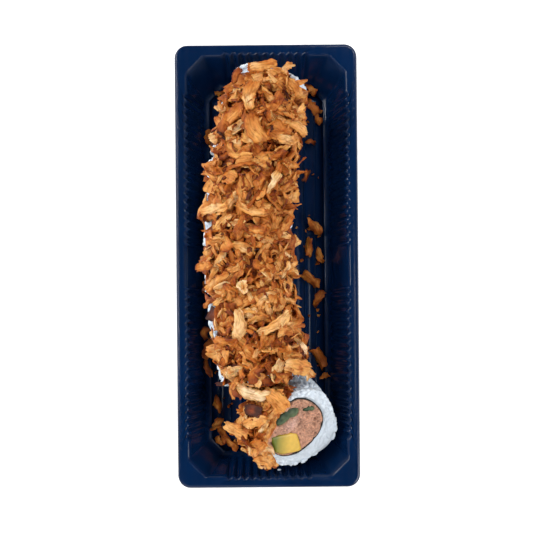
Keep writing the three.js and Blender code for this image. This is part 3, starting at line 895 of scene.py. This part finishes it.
def filled_plane(outer, holes, spacing, rng):
    """Points and triangles that fill a loop, with holes left open."""
    loops = [outer, *holes]
    points = np.concatenate(loops)
    edges = []
    start = 0
    for loop in loops:
        edges.extend((start + i, start + (i + 1) % len(loop)) for i in range(len(loop)))
        start += len(loop)
    low, high = outer.min(axis=0), outer.max(axis=0)
    grid = []
    for k, y in enumerate(np.arange(low[1], high[1], spacing * GRID_ROW)):
        xs = np.arange(low[0] + (k % 2) * spacing / 2, high[0], spacing)
        grid.append(np.stack([xs, np.full(len(xs), y)], 1))
    grid = np.concatenate(grid)
    grid = grid + rng.uniform(-GRID_JITTER, GRID_JITTER, grid.shape) * spacing
    keep = inside(grid, outer) & (edge_distance(grid, loops) > GRID_CLEAR * spacing)
    for hole in holes:
        keep &= ~inside(grid, hole)
    flat, faces, _ = triangulated(np.concatenate([points, grid[keep]]), edges)
    faces = np.array([face for face in faces if len(face) == 3])
    middles = flat[faces].mean(axis=1)
    open_face = np.zeros(len(faces), dtype=bool)
    for hole in holes:
        open_face |= inside(middles, hole)
    return flat, faces[~open_face]


def slab(outer, holes, spacing, rng, relief):
    """A closed layer through a slice: both cut faces have a relief, and walls join them."""
    flat, faces = filled_plane(outer, holes, spacing, rng)
    count = len(flat)
    edge = edge_distance(flat, [outer, *holes])
    front = PIECE_THICKNESS + relief(flat, edge, 1)
    back = -relief(flat, edge, -1)
    points = np.concatenate([np.column_stack([flat, front]), np.column_stack([flat, back])])
    sides = {}
    for a, b, c in faces:
        for start, end in ((a, b), (b, c), (c, a)):
            sides[(start, end)] = (end, start)
    walls = [(a, a + count, b + count, b) for (a, b), turned in sides.items() if turned not in sides]
    everything = faces.tolist() + (faces[:, ::-1] + count).tolist() + walls
    return points, everything


def grain_noise(flat, scale, seed):
    return np.array([noise.noise((x * scale, y * scale, seed)) for x, y in flat])


def grain_template():
    """A plump grain of unit half-lengths: rings of points between two poles."""
    lat = np.linspace(0, np.pi, GRAIN_RINGS + 1)[1:-1]
    lon = np.arange(GRAIN_SIDES) * 2 * np.pi / GRAIN_SIDES
    rings = [
        np.stack([np.full(GRAIN_SIDES, np.cos(a)), np.sin(a) * np.cos(lon), np.sin(a) * np.sin(lon)], 1)
        for a in lat
    ]
    points = np.concatenate([[(1, 0, 0)], *rings, [(-1, 0, 0)]])
    faces = []
    last = len(points) - 1
    for i in range(GRAIN_SIDES):
        j = (i + 1) % GRAIN_SIDES
        faces.append((0, 1 + i, 1 + j))
        for r in range(len(lat) - 1):
            a = 1 + r * GRAIN_SIDES
            faces.append((a + i, a + GRAIN_SIDES + i, a + GRAIN_SIDES + j, a + j))
        top = 1 + (len(lat) - 1) * GRAIN_SIDES
        faces.append((top + i, last, top + j))
    return points, faces


GRAIN_POINTS, GRAIN_FACES = grain_template()


def add_grain(joined, rng, place, centre, normal, across, swing=np.pi / 2):
    """One grain that lies in a surface, cut flat where the knife went through."""
    size = np.array(GRAIN_HALF) * rng.uniform(*GRAIN_SIZES, 3)
    turn = rng.uniform(-swing, swing)
    other = np.cross(normal, across)
    along = math.cos(turn) * across + math.sin(turn) * other
    along = along + normal * rng.uniform(-GRAIN_TIP, GRAIN_TIP)
    along /= np.linalg.norm(along)
    side = np.cross(normal, along)
    side /= np.linalg.norm(side)
    up = np.cross(along, side)
    points = (GRAIN_POINTS * size) @ np.stack([along, side, up]) + centre
    points[:, 2] = np.clip(points[:, 2], -KNIFE_REACH, PIECE_THICKNESS + KNIFE_REACH)
    tone = np.array(RICE_WHITE) * rng.uniform(*GRAIN_TONES)
    joined.add(placed(points, place), GRAIN_FACES, tone)


def rice_lump(angle, along, number):
    """How far the pressed rice stands out or in at a place of its side."""
    around, lengthwise, apart = LUMP_WAVES
    x, y = around * math.sin(angle), around * math.cos(angle)
    return RICE_LUMP * noise.noise((x, y, lengthwise * along + apart * number))


def face_point(angle, share, pushed, number, face):
    """A point of a cut face's rice, from the nori at a share of 0 to the outer edge at 1."""
    way = np.array((math.sin(angle), math.cos(angle)))
    inner = np.array(NORI_CENTRE) + way * nori_radius(angle)
    outer = way * (roll_radius(angle) + pushed * lean_push(angle) + rice_lump(angle, face, number))
    return lerp(inner, outer, share)


def rice_core(rng, pushed):
    """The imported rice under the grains, whose cut face that shows may be pushed out of round."""
    half_width, half_height = ROLL_HALF_WIDTH - CORE_SINK, ROLL_HALF_HEIGHT - CORE_SINK
    outer = oval_loop(half_width, half_height, ROLL_SQUARENESS, ROLL_STEPS)
    seed = rng.uniform(0, 50)

    def relief(flat, edge, side):
        rounded = CORE_EDGE[0] * np.exp(-edge / CORE_EDGE[1])
        return -KNIFE_REACH - rounded + CORE_ROUGH[0] * grain_noise(flat, CORE_ROUGH[1], seed + side)

    points, faces = slab(outer, [nori_loop(0, NORI_STEPS)], CORE_SPACING, rng, relief)
    angle = np.arctan2(points[:, 0], points[:, 1])
    length = np.linalg.norm(points[:, :2], axis=1)
    room = np.clip((length - nori_radius(angle)) / (roll_radius(angle) - nori_radius(angle)), 0, 1)
    front = points[:, 2] > PIECE_THICKNESS / 2
    push = np.where(front, pushed * lean_push(angle) * room, 0)
    points[:, :2] *= (1 + push / length)[:, None]
    return points, faces


def build_rice(number, place, material):
    """A packed core with single grains in its side and its cut faces."""
    rng = np.random.default_rng(RICE_SEED + number)
    joined = Joined()
    pushed = 1 if number == PIECES else 0
    core, faces = rice_core(rng, pushed)
    joined.add(placed(core, place), faces, np.array(RICE_WHITE) * CORE_TONE)
    axis = np.array((0.0, 0.0, 1.0))
    rows = int(2 * RICE_REACH * ROLL_HALF_WIDTH / GRAIN_PITCH)
    for row in range(rows):
        for column in range(GRAIN_COLUMNS):
            angle = lerp(-RICE_REACH, RICE_REACH, (row + rng.uniform(*GRAIN_CELL)) / rows)
            along = PIECE_THICKNESS * (column + rng.uniform(*GRAIN_CELL)) / GRAIN_COLUMNS
            end_gap = min(along, PIECE_THICKNESS - along)
            round_off = EDGE_ROUND * math.exp(-end_gap / EDGE_REACH)
            radius = roll_radius(angle) - GRAIN_SINK - round_off + rng.uniform(-GRAIN_ROUGH, GRAIN_ROUGH)
            radius += pushed * lean_push(angle) * along / PIECE_THICKNESS + rice_lump(angle, along, number)
            normal = np.array((math.sin(angle), math.cos(angle), 0))
            centre = np.array((radius * normal[0], radius * normal[1], along))
            add_grain(joined, rng, place, centre, normal, axis)
    for side in (0, 1):
        face = PIECE_THICKNESS * side
        normal = axis * (2 * side - 1)
        for share, grains, depth, swing in FACE_RINGS:
            for k in range(grains):
                angle = (k + rng.uniform(-FACE_DRIFT, FACE_DRIFT)) / grains * 2 * np.pi
                ring = share + rng.uniform(-FACE_SPREAD, FACE_SPREAD)
                x, y = face_point(angle, ring, pushed * side, number, face)
                centre = np.array((x, y, face)) - normal * (depth + rng.uniform(*FACE_ROUGH))
                across = np.array((math.cos(angle), -math.sin(angle), 0))
                add_grain(joined, rng, place, centre, normal, across, swing)
    if pushed:
        crumb = GRAIN_POINTS * np.array(CRUMB_HALF) + np.array(CRUMB_PLACE)
        joined.add(crumb, GRAIN_FACES, np.array(RICE_WHITE))
    joined.piece(f"rice_{number}", material, "rice", [f"slice_{number}_rice"])
    return np.concatenate(joined.points)


def layer_piece(kind, number, place, points, faces, material, tones):
    """One of a slice's layers, in place of the node of its name."""
    nodes = [f"slice_{number}_{kind}"]
    make_piece(f"{kind}_{number}", placed(points, place), faces, material, nodes, tones)


def build_nori(number, place, material):
    rng = np.random.default_rng(NORI_SEED + number)
    height, rough, scale = NORI_EDGE

    def relief(flat, _edge, _side):
        return height + rough * grain_noise(flat, scale, number)

    inner = nori_loop(-NORI_SHEET, NORI_STEPS, NORI_WOBBLE, rng)
    points, faces = slab(nori_loop(0, NORI_STEPS), [inner], NORI_SPACING, rng, relief)
    tones = np.array(NORI_BLACK) * np.ones((len(points), 1))
    layer_piece("nori", number, place, points, faces, material, tones)


def build_tuna(number, place, material):
    rng = np.random.default_rng(TUNA_SEED + number)
    holes = [clipped(bar_loop(*AVOCADO)), clipped(bar_loop(*CUCUMBER)), bar_loop(*CHIP)]

    def relief(flat, edge, side):
        lumps = TUNA_LUMPS[0] * grain_noise(flat, TUNA_LUMPS[1], number + 0.5 * side)
        ridges = np.abs(grain_noise(flat * np.array(SHRED_STRETCH), TUNA_SHREDS[1], number + 7 + side))
        crumb = TUNA_CRUMB[0] * grain_noise(flat, TUNA_CRUMB[1], number + 17 + side)
        shreds = TUNA_SHREDS[0] * (SHRED_CREST - SHRED_DEPTH * ridges)
        return lumps + shreds + crumb - TUNA_EDGE[0] * np.exp(-edge / TUNA_EDGE[1])

    spacing = TUNA_SPACING[number in SHOWN_SLICES]
    points, faces = slab(nori_loop(-TUNA_INSET, TUNA_STEPS), holes, spacing, rng, relief)
    off = (points[:, :2] - np.array(PALE_CENTRE)) / np.array(PALE_REACH)
    pale = np.exp(-np.sum(off**2, axis=1))
    front = points[:, 2] > PIECE_THICKNESS / 2
    height = np.where(front, points[:, 2] - PIECE_THICKNESS, -points[:, 2])
    speck = rng.normal(0, TUNA_SPECK, len(points))
    # Painted shade and light: the relief is darker the lower it lies and lighter the higher it stands.
    shade = np.clip(TUNA_TONE_AND_RELIEF_SHADE[0] + TUNA_TONE_AND_RELIEF_SHADE[1] * height + speck, *TUNA_TONES)
    tones = lerp(np.array(TUNA_PINK) * shade[:, None], np.array(TUNA_PALE), PALE_SHARE * pale[:, None])
    layer_piece("tuna", number, place, points, faces, material, tones)


def clipped(loop):
    """A loop drawn in to stay inside the nori."""
    off = loop - np.array(NORI_CENTRE)
    room = nori_radius(np.arctan2(off[:, 0], off[:, 1]), -FILLING_INSET)
    length = np.linalg.norm(off, axis=1)
    return off * np.minimum(1, room / length)[:, None] + np.array(NORI_CENTRE)


def build_fillings(number, place, avocado_material, cucumber_material):
    rng = np.random.default_rng(FILLING_SEED + number)

    def soft_slab(loop, spacing, height, rough):
        def relief(flat, edge, _side):
            rounded = FILLING_EDGE * np.exp(-edge / FILLING_EDGE)
            return height - rounded + rough * grain_noise(flat, FILLING_SCALE, number)

        return slab(loop, [], spacing, rng, relief)

    points, faces = soft_slab(clipped(bar_loop(*AVOCADO)), *AVOCADO_FACE)
    centre, length, _, turn = AVOCADO[:4]
    along = (points[:, 0] - centre[0]) * math.cos(turn)
    along = along + (points[:, 1] - centre[1]) * math.sin(turn)
    start, stretch, power = AVOCADO_RIPENING
    share = np.clip((along + start * length) / (stretch * length), 0, 1) ** power
    tones = lerp(np.array(AVOCADO_GREEN), np.array(AVOCADO_YELLOW), share[:, None])
    layer_piece("avocado", number, place, points, faces, avocado_material, tones)

    joined = Joined()
    middle, loss, patch, patch_scale = CUCUMBER_PALING
    for loop, centre in ((clipped(bar_loop(*CUCUMBER)), CUCUMBER[0]), (bar_loop(*CHIP), CHIP[0])):
        points, faces = soft_slab(loop, *CUCUMBER_FACE)
        across = (points[:, 1] - centre[1]) / (CUCUMBER[2] / 2)
        patches = patch * grain_noise(points[:, :2], patch_scale, number + 3)
        share = np.clip(middle - loss * across + patches, 0, 1)
        tones = lerp(np.array(CUCUMBER_SKIN), np.array(CUCUMBER_FLESH), share[:, None])
        joined.add(placed(points, place), faces, tones)
    joined.piece(f"cucumber_{number}", cucumber_material, "cucumber", [f"slice_{number}_cucumber"])


# Fried onions


def flake_batch(rng, lengths, widths, bends, steps, across, crumple):
    """Crumpled torn flakes, each about its own origin: points, faces, toast and places in the fibres."""
    count = len(lengths)
    u = np.linspace(-1, 1, steps)[None, :, None]
    v = np.linspace(-1, 1, across)[None, None, :]
    length = lengths[:, None, None]
    width = widths[:, None, None]

    def pick(low, high):
        return rng.uniform(low, high, count)[:, None, None]

    def either(most):
        return pick(-most, most)

    def torn():
        rough = rng.normal(0, TEAR, (count, steps + 2))
        return (rough[:, :-2] + 2 * rough[:, 1:-1] + rough[:, 2:])[:, :, None] / TEAR_SOFTNESS

    ends = pick(*FLAKE_ENDS)
    profile = ends + (1 - ends) * (1 - np.abs(u) ** pick(*FLAKE_TAPERS)) ** FLAKE_ROUNDING
    left = profile + torn() * 2 / width
    right = profile + torn() * 2 / width
    y = np.where(v < 0, v * left, v * right) * width / 2 * (1 + either(FLAKE_WEDGE) * u)
    y = y + either(FLAKE_CURVE) * length * u**2
    x = length / 2 * (u + rng.normal(0, FLAKE_FRAY, (count, 1, across)) * u**3)
    grain = np.stack(np.broadcast_arrays(length / 2 * u, width / 2 * v, pick(*FIBRE_LAYERS)), 3)
    z = either(CUP) * crumple * y**2 * 4 / (width * (4 + width))
    for size, low, high in CRUMPLES:
        way = pick(*ANY_PHASE)
        height = pick(*CRUMPLE_SHARES) * size
        z = z + height * np.sin(pick(low, high) * (x * np.cos(way) + y * np.sin(way)) + pick(*ANY_PHASE))
    fold = either(FLAKE_FOLD)
    crease = either(CREASE) * crumple
    z = z + crease * np.abs(y * np.cos(fold) + x * np.sin(fold) - either(FOLD_OFFSET))
    twist = either(TWIST) * crumple * u
    y, z = y * np.cos(twist) - z * np.sin(twist), y * np.sin(twist) + z * np.cos(twist)
    bend = np.where(np.abs(bends) < LEAST_BEND, LEAST_BEND, bends)[:, None, None]
    reach = 1 / bend - z
    x, z = reach * np.sin(bend * x), 1 / bend - reach * np.cos(bend * x)
    middle = np.stack([x, y, z], 3)
    middle -= middle.mean(axis=(1, 2), keepdims=True)
    normal = np.cross(np.gradient(middle, axis=1), np.gradient(middle, axis=2))
    normal /= np.linalg.norm(normal, axis=3, keepdims=True) + TINY
    rim = np.maximum(np.abs(u), np.abs(v)) ** 4
    thick = (pick(*FLAKE_THICKNESS) * (1 - RIM_THINNING * rim))[..., None] / 2
    patch = np.sin(pick(*PATCH_WAVES[0]) * u + pick(*ANY_PHASE))
    patch = patch * np.sin(pick(*PATCH_WAVES[1]) * v + pick(*ANY_PHASE))
    veins = np.sin(pick(*VEIN_WAVES) * v + pick(*ANY_PHASE) + 0 * u)
    toast = pick(*RIM_TOAST) * rim + pick(*PATCH_TOAST) * patch + VEIN_TOAST * veins

    def both_sides(upper, lower):
        sheets = [sheet.reshape(count, steps * across, -1) for sheet in (upper, lower)]
        return np.concatenate(sheets, axis=1)

    points = both_sides(middle + normal * thick, middle - normal * thick)
    return points, flake_faces(steps, across), both_sides(toast, toast)[..., 0], both_sides(grain, grain)


def flake_faces(steps, across):
    size = steps * across
    index = np.arange(size).reshape(steps, across)
    top = np.stack([index[:-1, :-1], index[1:, :-1], index[1:, 1:], index[:-1, 1:]], 2).reshape(-1, 4)
    loop = np.concatenate([index[:-1, 0], index[-1, :-1], index[:0:-1, -1], index[0, :0:-1]])
    ahead = np.roll(loop, -1)
    rim = np.stack([loop, loop + size, ahead + size, ahead], 1)
    return np.concatenate([top, top[:, ::-1] + size, rim])


def toasted(levels):
    """Colours from cream at -1 over pale gold at 0 to nearly burnt at 4."""
    stops = np.array((CREAM, PALE_GOLD, GOLD, AMBER, RUST, CHAR))
    place = np.clip(levels + 1, 0, len(stops) - 1.001)
    low = place.astype(int)
    share = (place - low)[..., None]
    return stops[low] * (1 - share) + stops[low + 1] * share


def flake_axes(rng, normals, tilt, ways, angles):
    """Axes for flakes: along a normal leaning by about a tilt, turned by an angle from a given way."""
    up = normals + rng.normal(0, tilt, normals.shape)
    up /= np.linalg.norm(up, axis=1, keepdims=True)
    first = ways - np.sum(ways * up, axis=1, keepdims=True) * up
    first /= np.linalg.norm(first, axis=1, keepdims=True) + TINY
    second = np.cross(up, first)
    along = np.cos(angles)[:, None] * first + np.sin(angles)[:, None] * second
    return np.stack([along, np.cross(up, along), up], 1)


def lying_axes(rng, normals, tilt, angles):
    """Axes for flakes that lie flat, turned by an angle from the tray's width."""
    ways = np.tile(np.array((1.0, 0.0, 0.0)), (len(normals), 1))
    return flake_axes(rng, normals, tilt, ways, angles)


def add_flakes(joined, rng, centres, axes, lengths, widths, bend, grid, levels, crumple=1.0):
    """Flakes set in place, kept between the tray's floor and the heap's greatest height."""
    bends = rng.normal(0, bend, len(lengths))
    points, faces, toast, grain = flake_batch(rng, lengths, widths, bends, *grid, crumple)
    tones = toasted(levels[:, None] + toast)
    for k in range(len(lengths)):
        flake = points[k] @ axes[k] + centres[k]
        flake[:, 2] -= max(0, flake[:, 2].max() - HEAP_TOP)
        flake[:, 2] += max(0, SHEET + FLAKE_REST - flake[:, 2].min())
        joined.add(flake, faces, tones[k], grain[k])


def heap_places(rng, count, reach, lifts, along, layer, lumpy, bare_end):
    """Places over a slice's side: centres and outward normals in the slice's own axes, and depths."""
    share = rng.uniform(0, 1, count)
    length = rng.uniform(*along, count)
    angle = lerp(*reach, share)
    if bare_end:
        covered = np.clip(END_SHARE + END_WIDENING * (length - along[0]), 0, 1)
        angle = angle * covered + END_SHIFT * (1 - covered)
    crown = 1 - CROWN_DROP * np.abs(2 * share - 1) ** 2
    depth = rng.uniform(*layer, count)
    lumps = LUMP * np.sin(HEAP_WAVES[0] * angle + lumpy[0]) * np.sin(HEAP_WAVES[1] * length + lumpy[1])
    radius = roll_radius(angle) + np.maximum(lerp(*lifts, depth) + lumps, lifts[0]) * crown
    return around(angle, radius, length), around(angle, 1, 0.0), depth


def crumb_and_shade_bed(joined, rng, place, reach, along, depth):
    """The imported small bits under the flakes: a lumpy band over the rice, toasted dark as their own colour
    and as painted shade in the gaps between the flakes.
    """
    rounds, rows = BED_GRID
    share = np.linspace(0, 1, rounds)[:, None]
    angle = lerp(*reach, share) * BED_SHARE + np.zeros((1, rows))
    length = np.linspace(*along, rows)[None, :] + 0 * angle
    lumps = np.array([
        [noise.noise((a * BED_WAVES[0], b * BED_WAVES[1], depth + along[0])) for a, b in zip(*line)]
        for line in zip(angle, length)
    ])
    crown = 1 - np.abs(2 * share - 1) ** 4
    ends = 1 - np.abs(np.linspace(-1, 1, rows)[None, :]) ** 6
    top = roll_radius(angle) + BED_BASE[0] + (depth + BED_ROUGH * lumps) * crown * ends
    low = roll_radius(angle) + BED_BASE[1] + 0 * top
    points = np.concatenate([around(angle, radius, length).reshape(-1, 3) for radius in (top, low)])
    # Very dark toast: partly the crumbs' own colour, partly painted shade that shows through the gaps between
    # the flakes.
    tones = toasted(rng.uniform(*BED_TOAST_AND_SHADE, len(points)))
    joined.add(placed(points, place), flake_faces(rounds, rows)[:, ::-1], tones, points)


def build_heap(number, place, material, under):
    rng = np.random.default_rng(HEAP_SEED + number)
    joined = Joined()
    leaning = number == PIECES
    bare_end = number == 1
    reach, lifts, along, bed_depth = LEAN_HEAP if leaning else ROW_HEAP
    if bare_end:
        along = (END_BARE, along[1])
    bed = (along[0] + BED_MARGINS[0], min(along[1], PIECE_THICKNESS) - BED_MARGINS[1])
    crumb_and_shade_bed(joined, rng, place, reach, bed, bed_depth)
    axis = place[0][:, 2]
    lumpy = rng.uniform(0, 2 * np.pi, 2)
    for count, length, width, tilt, bend, grid, layer in FLAKE_KINDS:
        centre, normal, depth = heap_places(rng, count, reach, lifts, along, layer, lumpy, bare_end)
        lengths = rng.uniform(*length, count)
        angles = rng.uniform(-np.pi, np.pi, count)
        near_end = np.minimum(centre[:, 2] - along[0], along[1] - centre[:, 2]) < lengths / 2
        sideways = np.pi / 2 + rng.uniform(-END_TURN, END_TURN, count)
        angles = np.where(near_end & (leaning or bare_end), sideways, angles)
        axes = flake_axes(rng, normal @ place[0].T, tilt, np.tile(axis, (count, 1)), angles)
        toast = np.maximum(rng.normal(*TOAST, count), TOAST_LEAST)
        # Flakes lower down in the heap are toasted darker: painted shade for the gaps under the flakes above.
        levels = toast + PAINTED_SHADE_BELOW * (1 - depth)
        widths = rng.uniform(*width, count)
        add_flakes(joined, rng, placed(centre, place), axes, lengths, widths, bend, grid, levels)
    if leaning:
        add_face_flakes(joined, rng, place)
    add_large_flakes(joined, rng, number, under)
    joined.piece(f"fried_onions_{number}", material, "fried_onion", [f"onions_{number}"])
    return np.concatenate(joined.points)


def add_face_flakes(joined, rng, place):
    """Flakes that lie on the edge of the leaning slice's cut face, along its upper left."""
    count, length, width, tilt, bend, grid = FACE_KIND
    angle = rng.uniform(*FACE_REACH, count)
    radius = roll_radius(angle) * rng.uniform(*FACE_RADII, count)
    centre = around(angle, radius, PIECE_THICKNESS + rng.uniform(*FACE_LIFTS, count))
    tangent = np.stack([np.cos(angle), -np.sin(angle), 0 * angle], 1)
    turn = place[0].T
    angles = rng.uniform(-FACE_TURN, FACE_TURN, count)
    axes = flake_axes(rng, around(angle, FACE_SPLAY, 1.0) @ turn, tilt, tangent @ turn, angles)
    lengths = rng.uniform(*length, count)
    levels = rng.normal(*TOAST, count)
    widths = rng.uniform(*width, count)
    add_flakes(joined, rng, placed(centre, place), axes, lengths, widths, bend, grid, levels)


def heap_height(points, x, y):
    """Height of whatever lies uppermost near a place seen from above."""
    distance = np.hypot(points[:, 0] - x, points[:, 1] - y)
    near = distance < max(HEAP_PROBE, distance.min() + 1)
    return np.percentile(points[near, 2], HEAP_UPPERMOST)


def add_large_flakes(joined, rng, number, under):
    """The large flakes that stand out on a slice's heap, each laid along what is under it."""
    for slice_number, x, y, heading, length, width, toast in LARGE_FLAKES:
        if slice_number != number:
            continue
        points = np.concatenate([*joined.points, *under])
        rest = LARGE_REST * length
        turn = math.radians(heading)
        dx, dy = rest * math.cos(turn), rest * math.sin(turn)
        ahead = heap_height(points, x + dx, y + dy)
        behind = heap_height(points, x - dx, y - dy)
        top = max(heap_height(points, x, y), (ahead + behind) / 2)
        slope = np.clip((behind - ahead) / (2 * rest), -LARGE_SLOPE, LARGE_SLOPE)
        normal = np.array([[slope * math.cos(turn), slope * math.sin(turn), 1.0]])
        axes = lying_axes(rng, normal, LARGE_TILT, np.array([turn]))
        centre = np.array([[x, y, top + LARGE_LIFT]])
        sizes = np.array([length]), np.array([width])
        level = np.array([toast])
        add_flakes(joined, rng, centre, axes, *sizes, LARGE_BEND, LARGE_GRID, level, LARGE_CRUMPLE)


def lay_flakes(joined, rng, centres, axes, lengths, kind):
    """Flakes that lie on the tray's floor or lean on what is beside them."""
    width, bend, grid, toast, crumple = kind
    # The dark toast of these flakes is painted shade for the shadow on the tray's floor.
    levels = rng.uniform(*toast, len(lengths))
    add_flakes(joined, rng, centres, axes, lengths, lengths * width, bend, grid, levels, crumple)


def build_loose(material):
    """Flakes on the tray's floor, and crumbs scattered round the roll."""
    rng = np.random.default_rng(LOOSE_SEED)
    joined = Joined()
    upright = np.array(((0.0, 0.0, 1.0),))
    flakes = np.array(LOOSE_FLAKES, dtype=float)
    count = len(flakes)
    axes = lying_axes(rng, upright.repeat(count, axis=0), LOOSE_TILT, np.radians(flakes[:, 2]))
    centres = np.column_stack([flakes[:, :2], np.full(count, ROLL_FLOOR + LOOSE_LIFT)])
    lay_flakes(joined, rng, centres, axes, flakes[:, 3], LOOSE_KIND)

    small = np.array(SMALL_FLAKES, dtype=float)
    lean = upright.repeat(len(small), axis=0)
    lean[:, 0] = -np.sign(small[:, 0]) * SMALL_LEAN * (small[:, 2] - SMALL_LEVEL)
    axes = lying_axes(rng, lean, SMALL_TILT, np.radians(small[:, 3]))
    lay_flakes(joined, rng, small[:, :3], axes, small[:, 4], SMALL_KIND)

    centres = []
    reach_x, reach_y = CRUMB_FIELD
    while len(centres) < LOOSE_CRUMBS:
        x, y = rng.uniform(-reach_x, reach_x), rng.uniform(-reach_y, reach_y)
        roll_x = ROW_CENTRE[0] - math.sqrt(ROW_RADIUS**2 - (y - ROW_CENTRE[1]) ** 2)
        if y < LEAN_START:
            roll_x = LEAN_CENTRE[0]
        if abs(x - roll_x) > ROLL_HALF_WIDTH + 1:
            centres.append((x, y, SHEET + CRUMB_LIFT))
    count = len(centres)
    angles = rng.uniform(0, 2 * np.pi, count)
    axes = lying_axes(rng, upright.repeat(count, axis=0), CRUMB_TILT, angles)
    lengths = rng.uniform(*CRUMB_LENGTHS, count)
    lay_flakes(joined, rng, np.array(centres), axes, lengths, CRUMB_KIND)
    nodes = [f"loose_flake_{i + 1}" for i in range(len(LOOSE_FLAKES))]
    joined.piece("loose_onions", material, "fried_onion", nodes)


# Studio


def area_light(name, place, target, size, power):
    """A soft box of a given length and height that faces a target."""
    data = bpy.data.lights.new(name, "AREA")
    data.shape = "RECTANGLE"
    data.size, data.size_y = size
    data.energy = power
    light = bpy.data.objects.new(name, data)
    light.location = place
    light.rotation_euler = (Vector(target) - Vector(place)).to_track_quat("-Z", "Y").to_euler()
    bpy.context.scene.collection.objects.link(light)


def studio_world():
    """Pale walls round the horizon, darker above."""
    world = bpy.data.worlds.new("studio")
    world.use_nodes = True
    tree = world.node_tree
    place = tree.nodes.new("ShaderNodeTexCoord")
    split = tree.nodes.new("ShaderNodeSeparateXYZ")
    tree.links.new(place.outputs["Generated"], split.inputs["Vector"])
    stops = (HORIZON_TOP, WALL_GREY), (HORIZON_TOP + HORIZON_FADE, CEILING_GREY)
    tree.links.new(add_ramp(tree, split.outputs["Z"], stops), tree.nodes["Background"].inputs["Color"])
    return world


def build_studio():
    scene = bpy.context.scene
    scene.view_settings.view_transform = "Standard"
    mesh = bpy.data.meshes.new("floor")
    corners = [(x * FLOOR_HALF, y * FLOOR_HALF, FLOOR_DROP) for x, y in ((-1, -1), (1, -1), (1, 1), (-1, 1))]
    mesh.from_pydata(corners, [], [(0, 1, 2, 3)])
    mesh.materials.append(floor_material())
    floor = bpy.data.objects.new("floor", mesh)
    scene.collection.objects.link(floor)
    scene.world = studio_world()
    for light in LIGHTS:
        area_light(*light)
    camera_data = bpy.data.cameras.new("camera")
    camera_data.sensor_width = SENSOR
    camera_data.lens = FOCAL_PIXELS / IMAGE_SIZE * SENSOR
    camera_data.shift_x = 0.5 - PRINCIPAL_POINT[0] / IMAGE_SIZE
    camera_data.shift_y = PRINCIPAL_POINT[1] / IMAGE_SIZE - 0.5
    camera_data.clip_start = 0.01
    camera = bpy.data.objects.new("camera", camera_data)
    camera.location = Vector(CAMERA_PLACE) * MM
    camera.rotation_euler = (0, 0, CAMERA_ROLL)
    scene.collection.objects.link(camera)
    scene.camera = camera


def build_all():
    plastic = plastic_material()
    food = {name: toned_material(name, *finish) for name, finish in FOOD_FINISHES.items()}
    onion = onion_material()
    build_tray(plastic)
    heap_before = np.zeros((0, 3))
    for i, place in enumerate(slice_frames()):
        number = i + 1
        rice_points = build_rice(number, place, food["rice"])
        build_nori(number, place, food["nori"])
        build_tuna(number, place, food["tuna"])
        build_fillings(number, place, food["avocado"], food["cucumber"])
        heap_before = build_heap(number, place, onion, [rice_points, heap_before])
    build_loose(onion)


build_studio()
build_all()
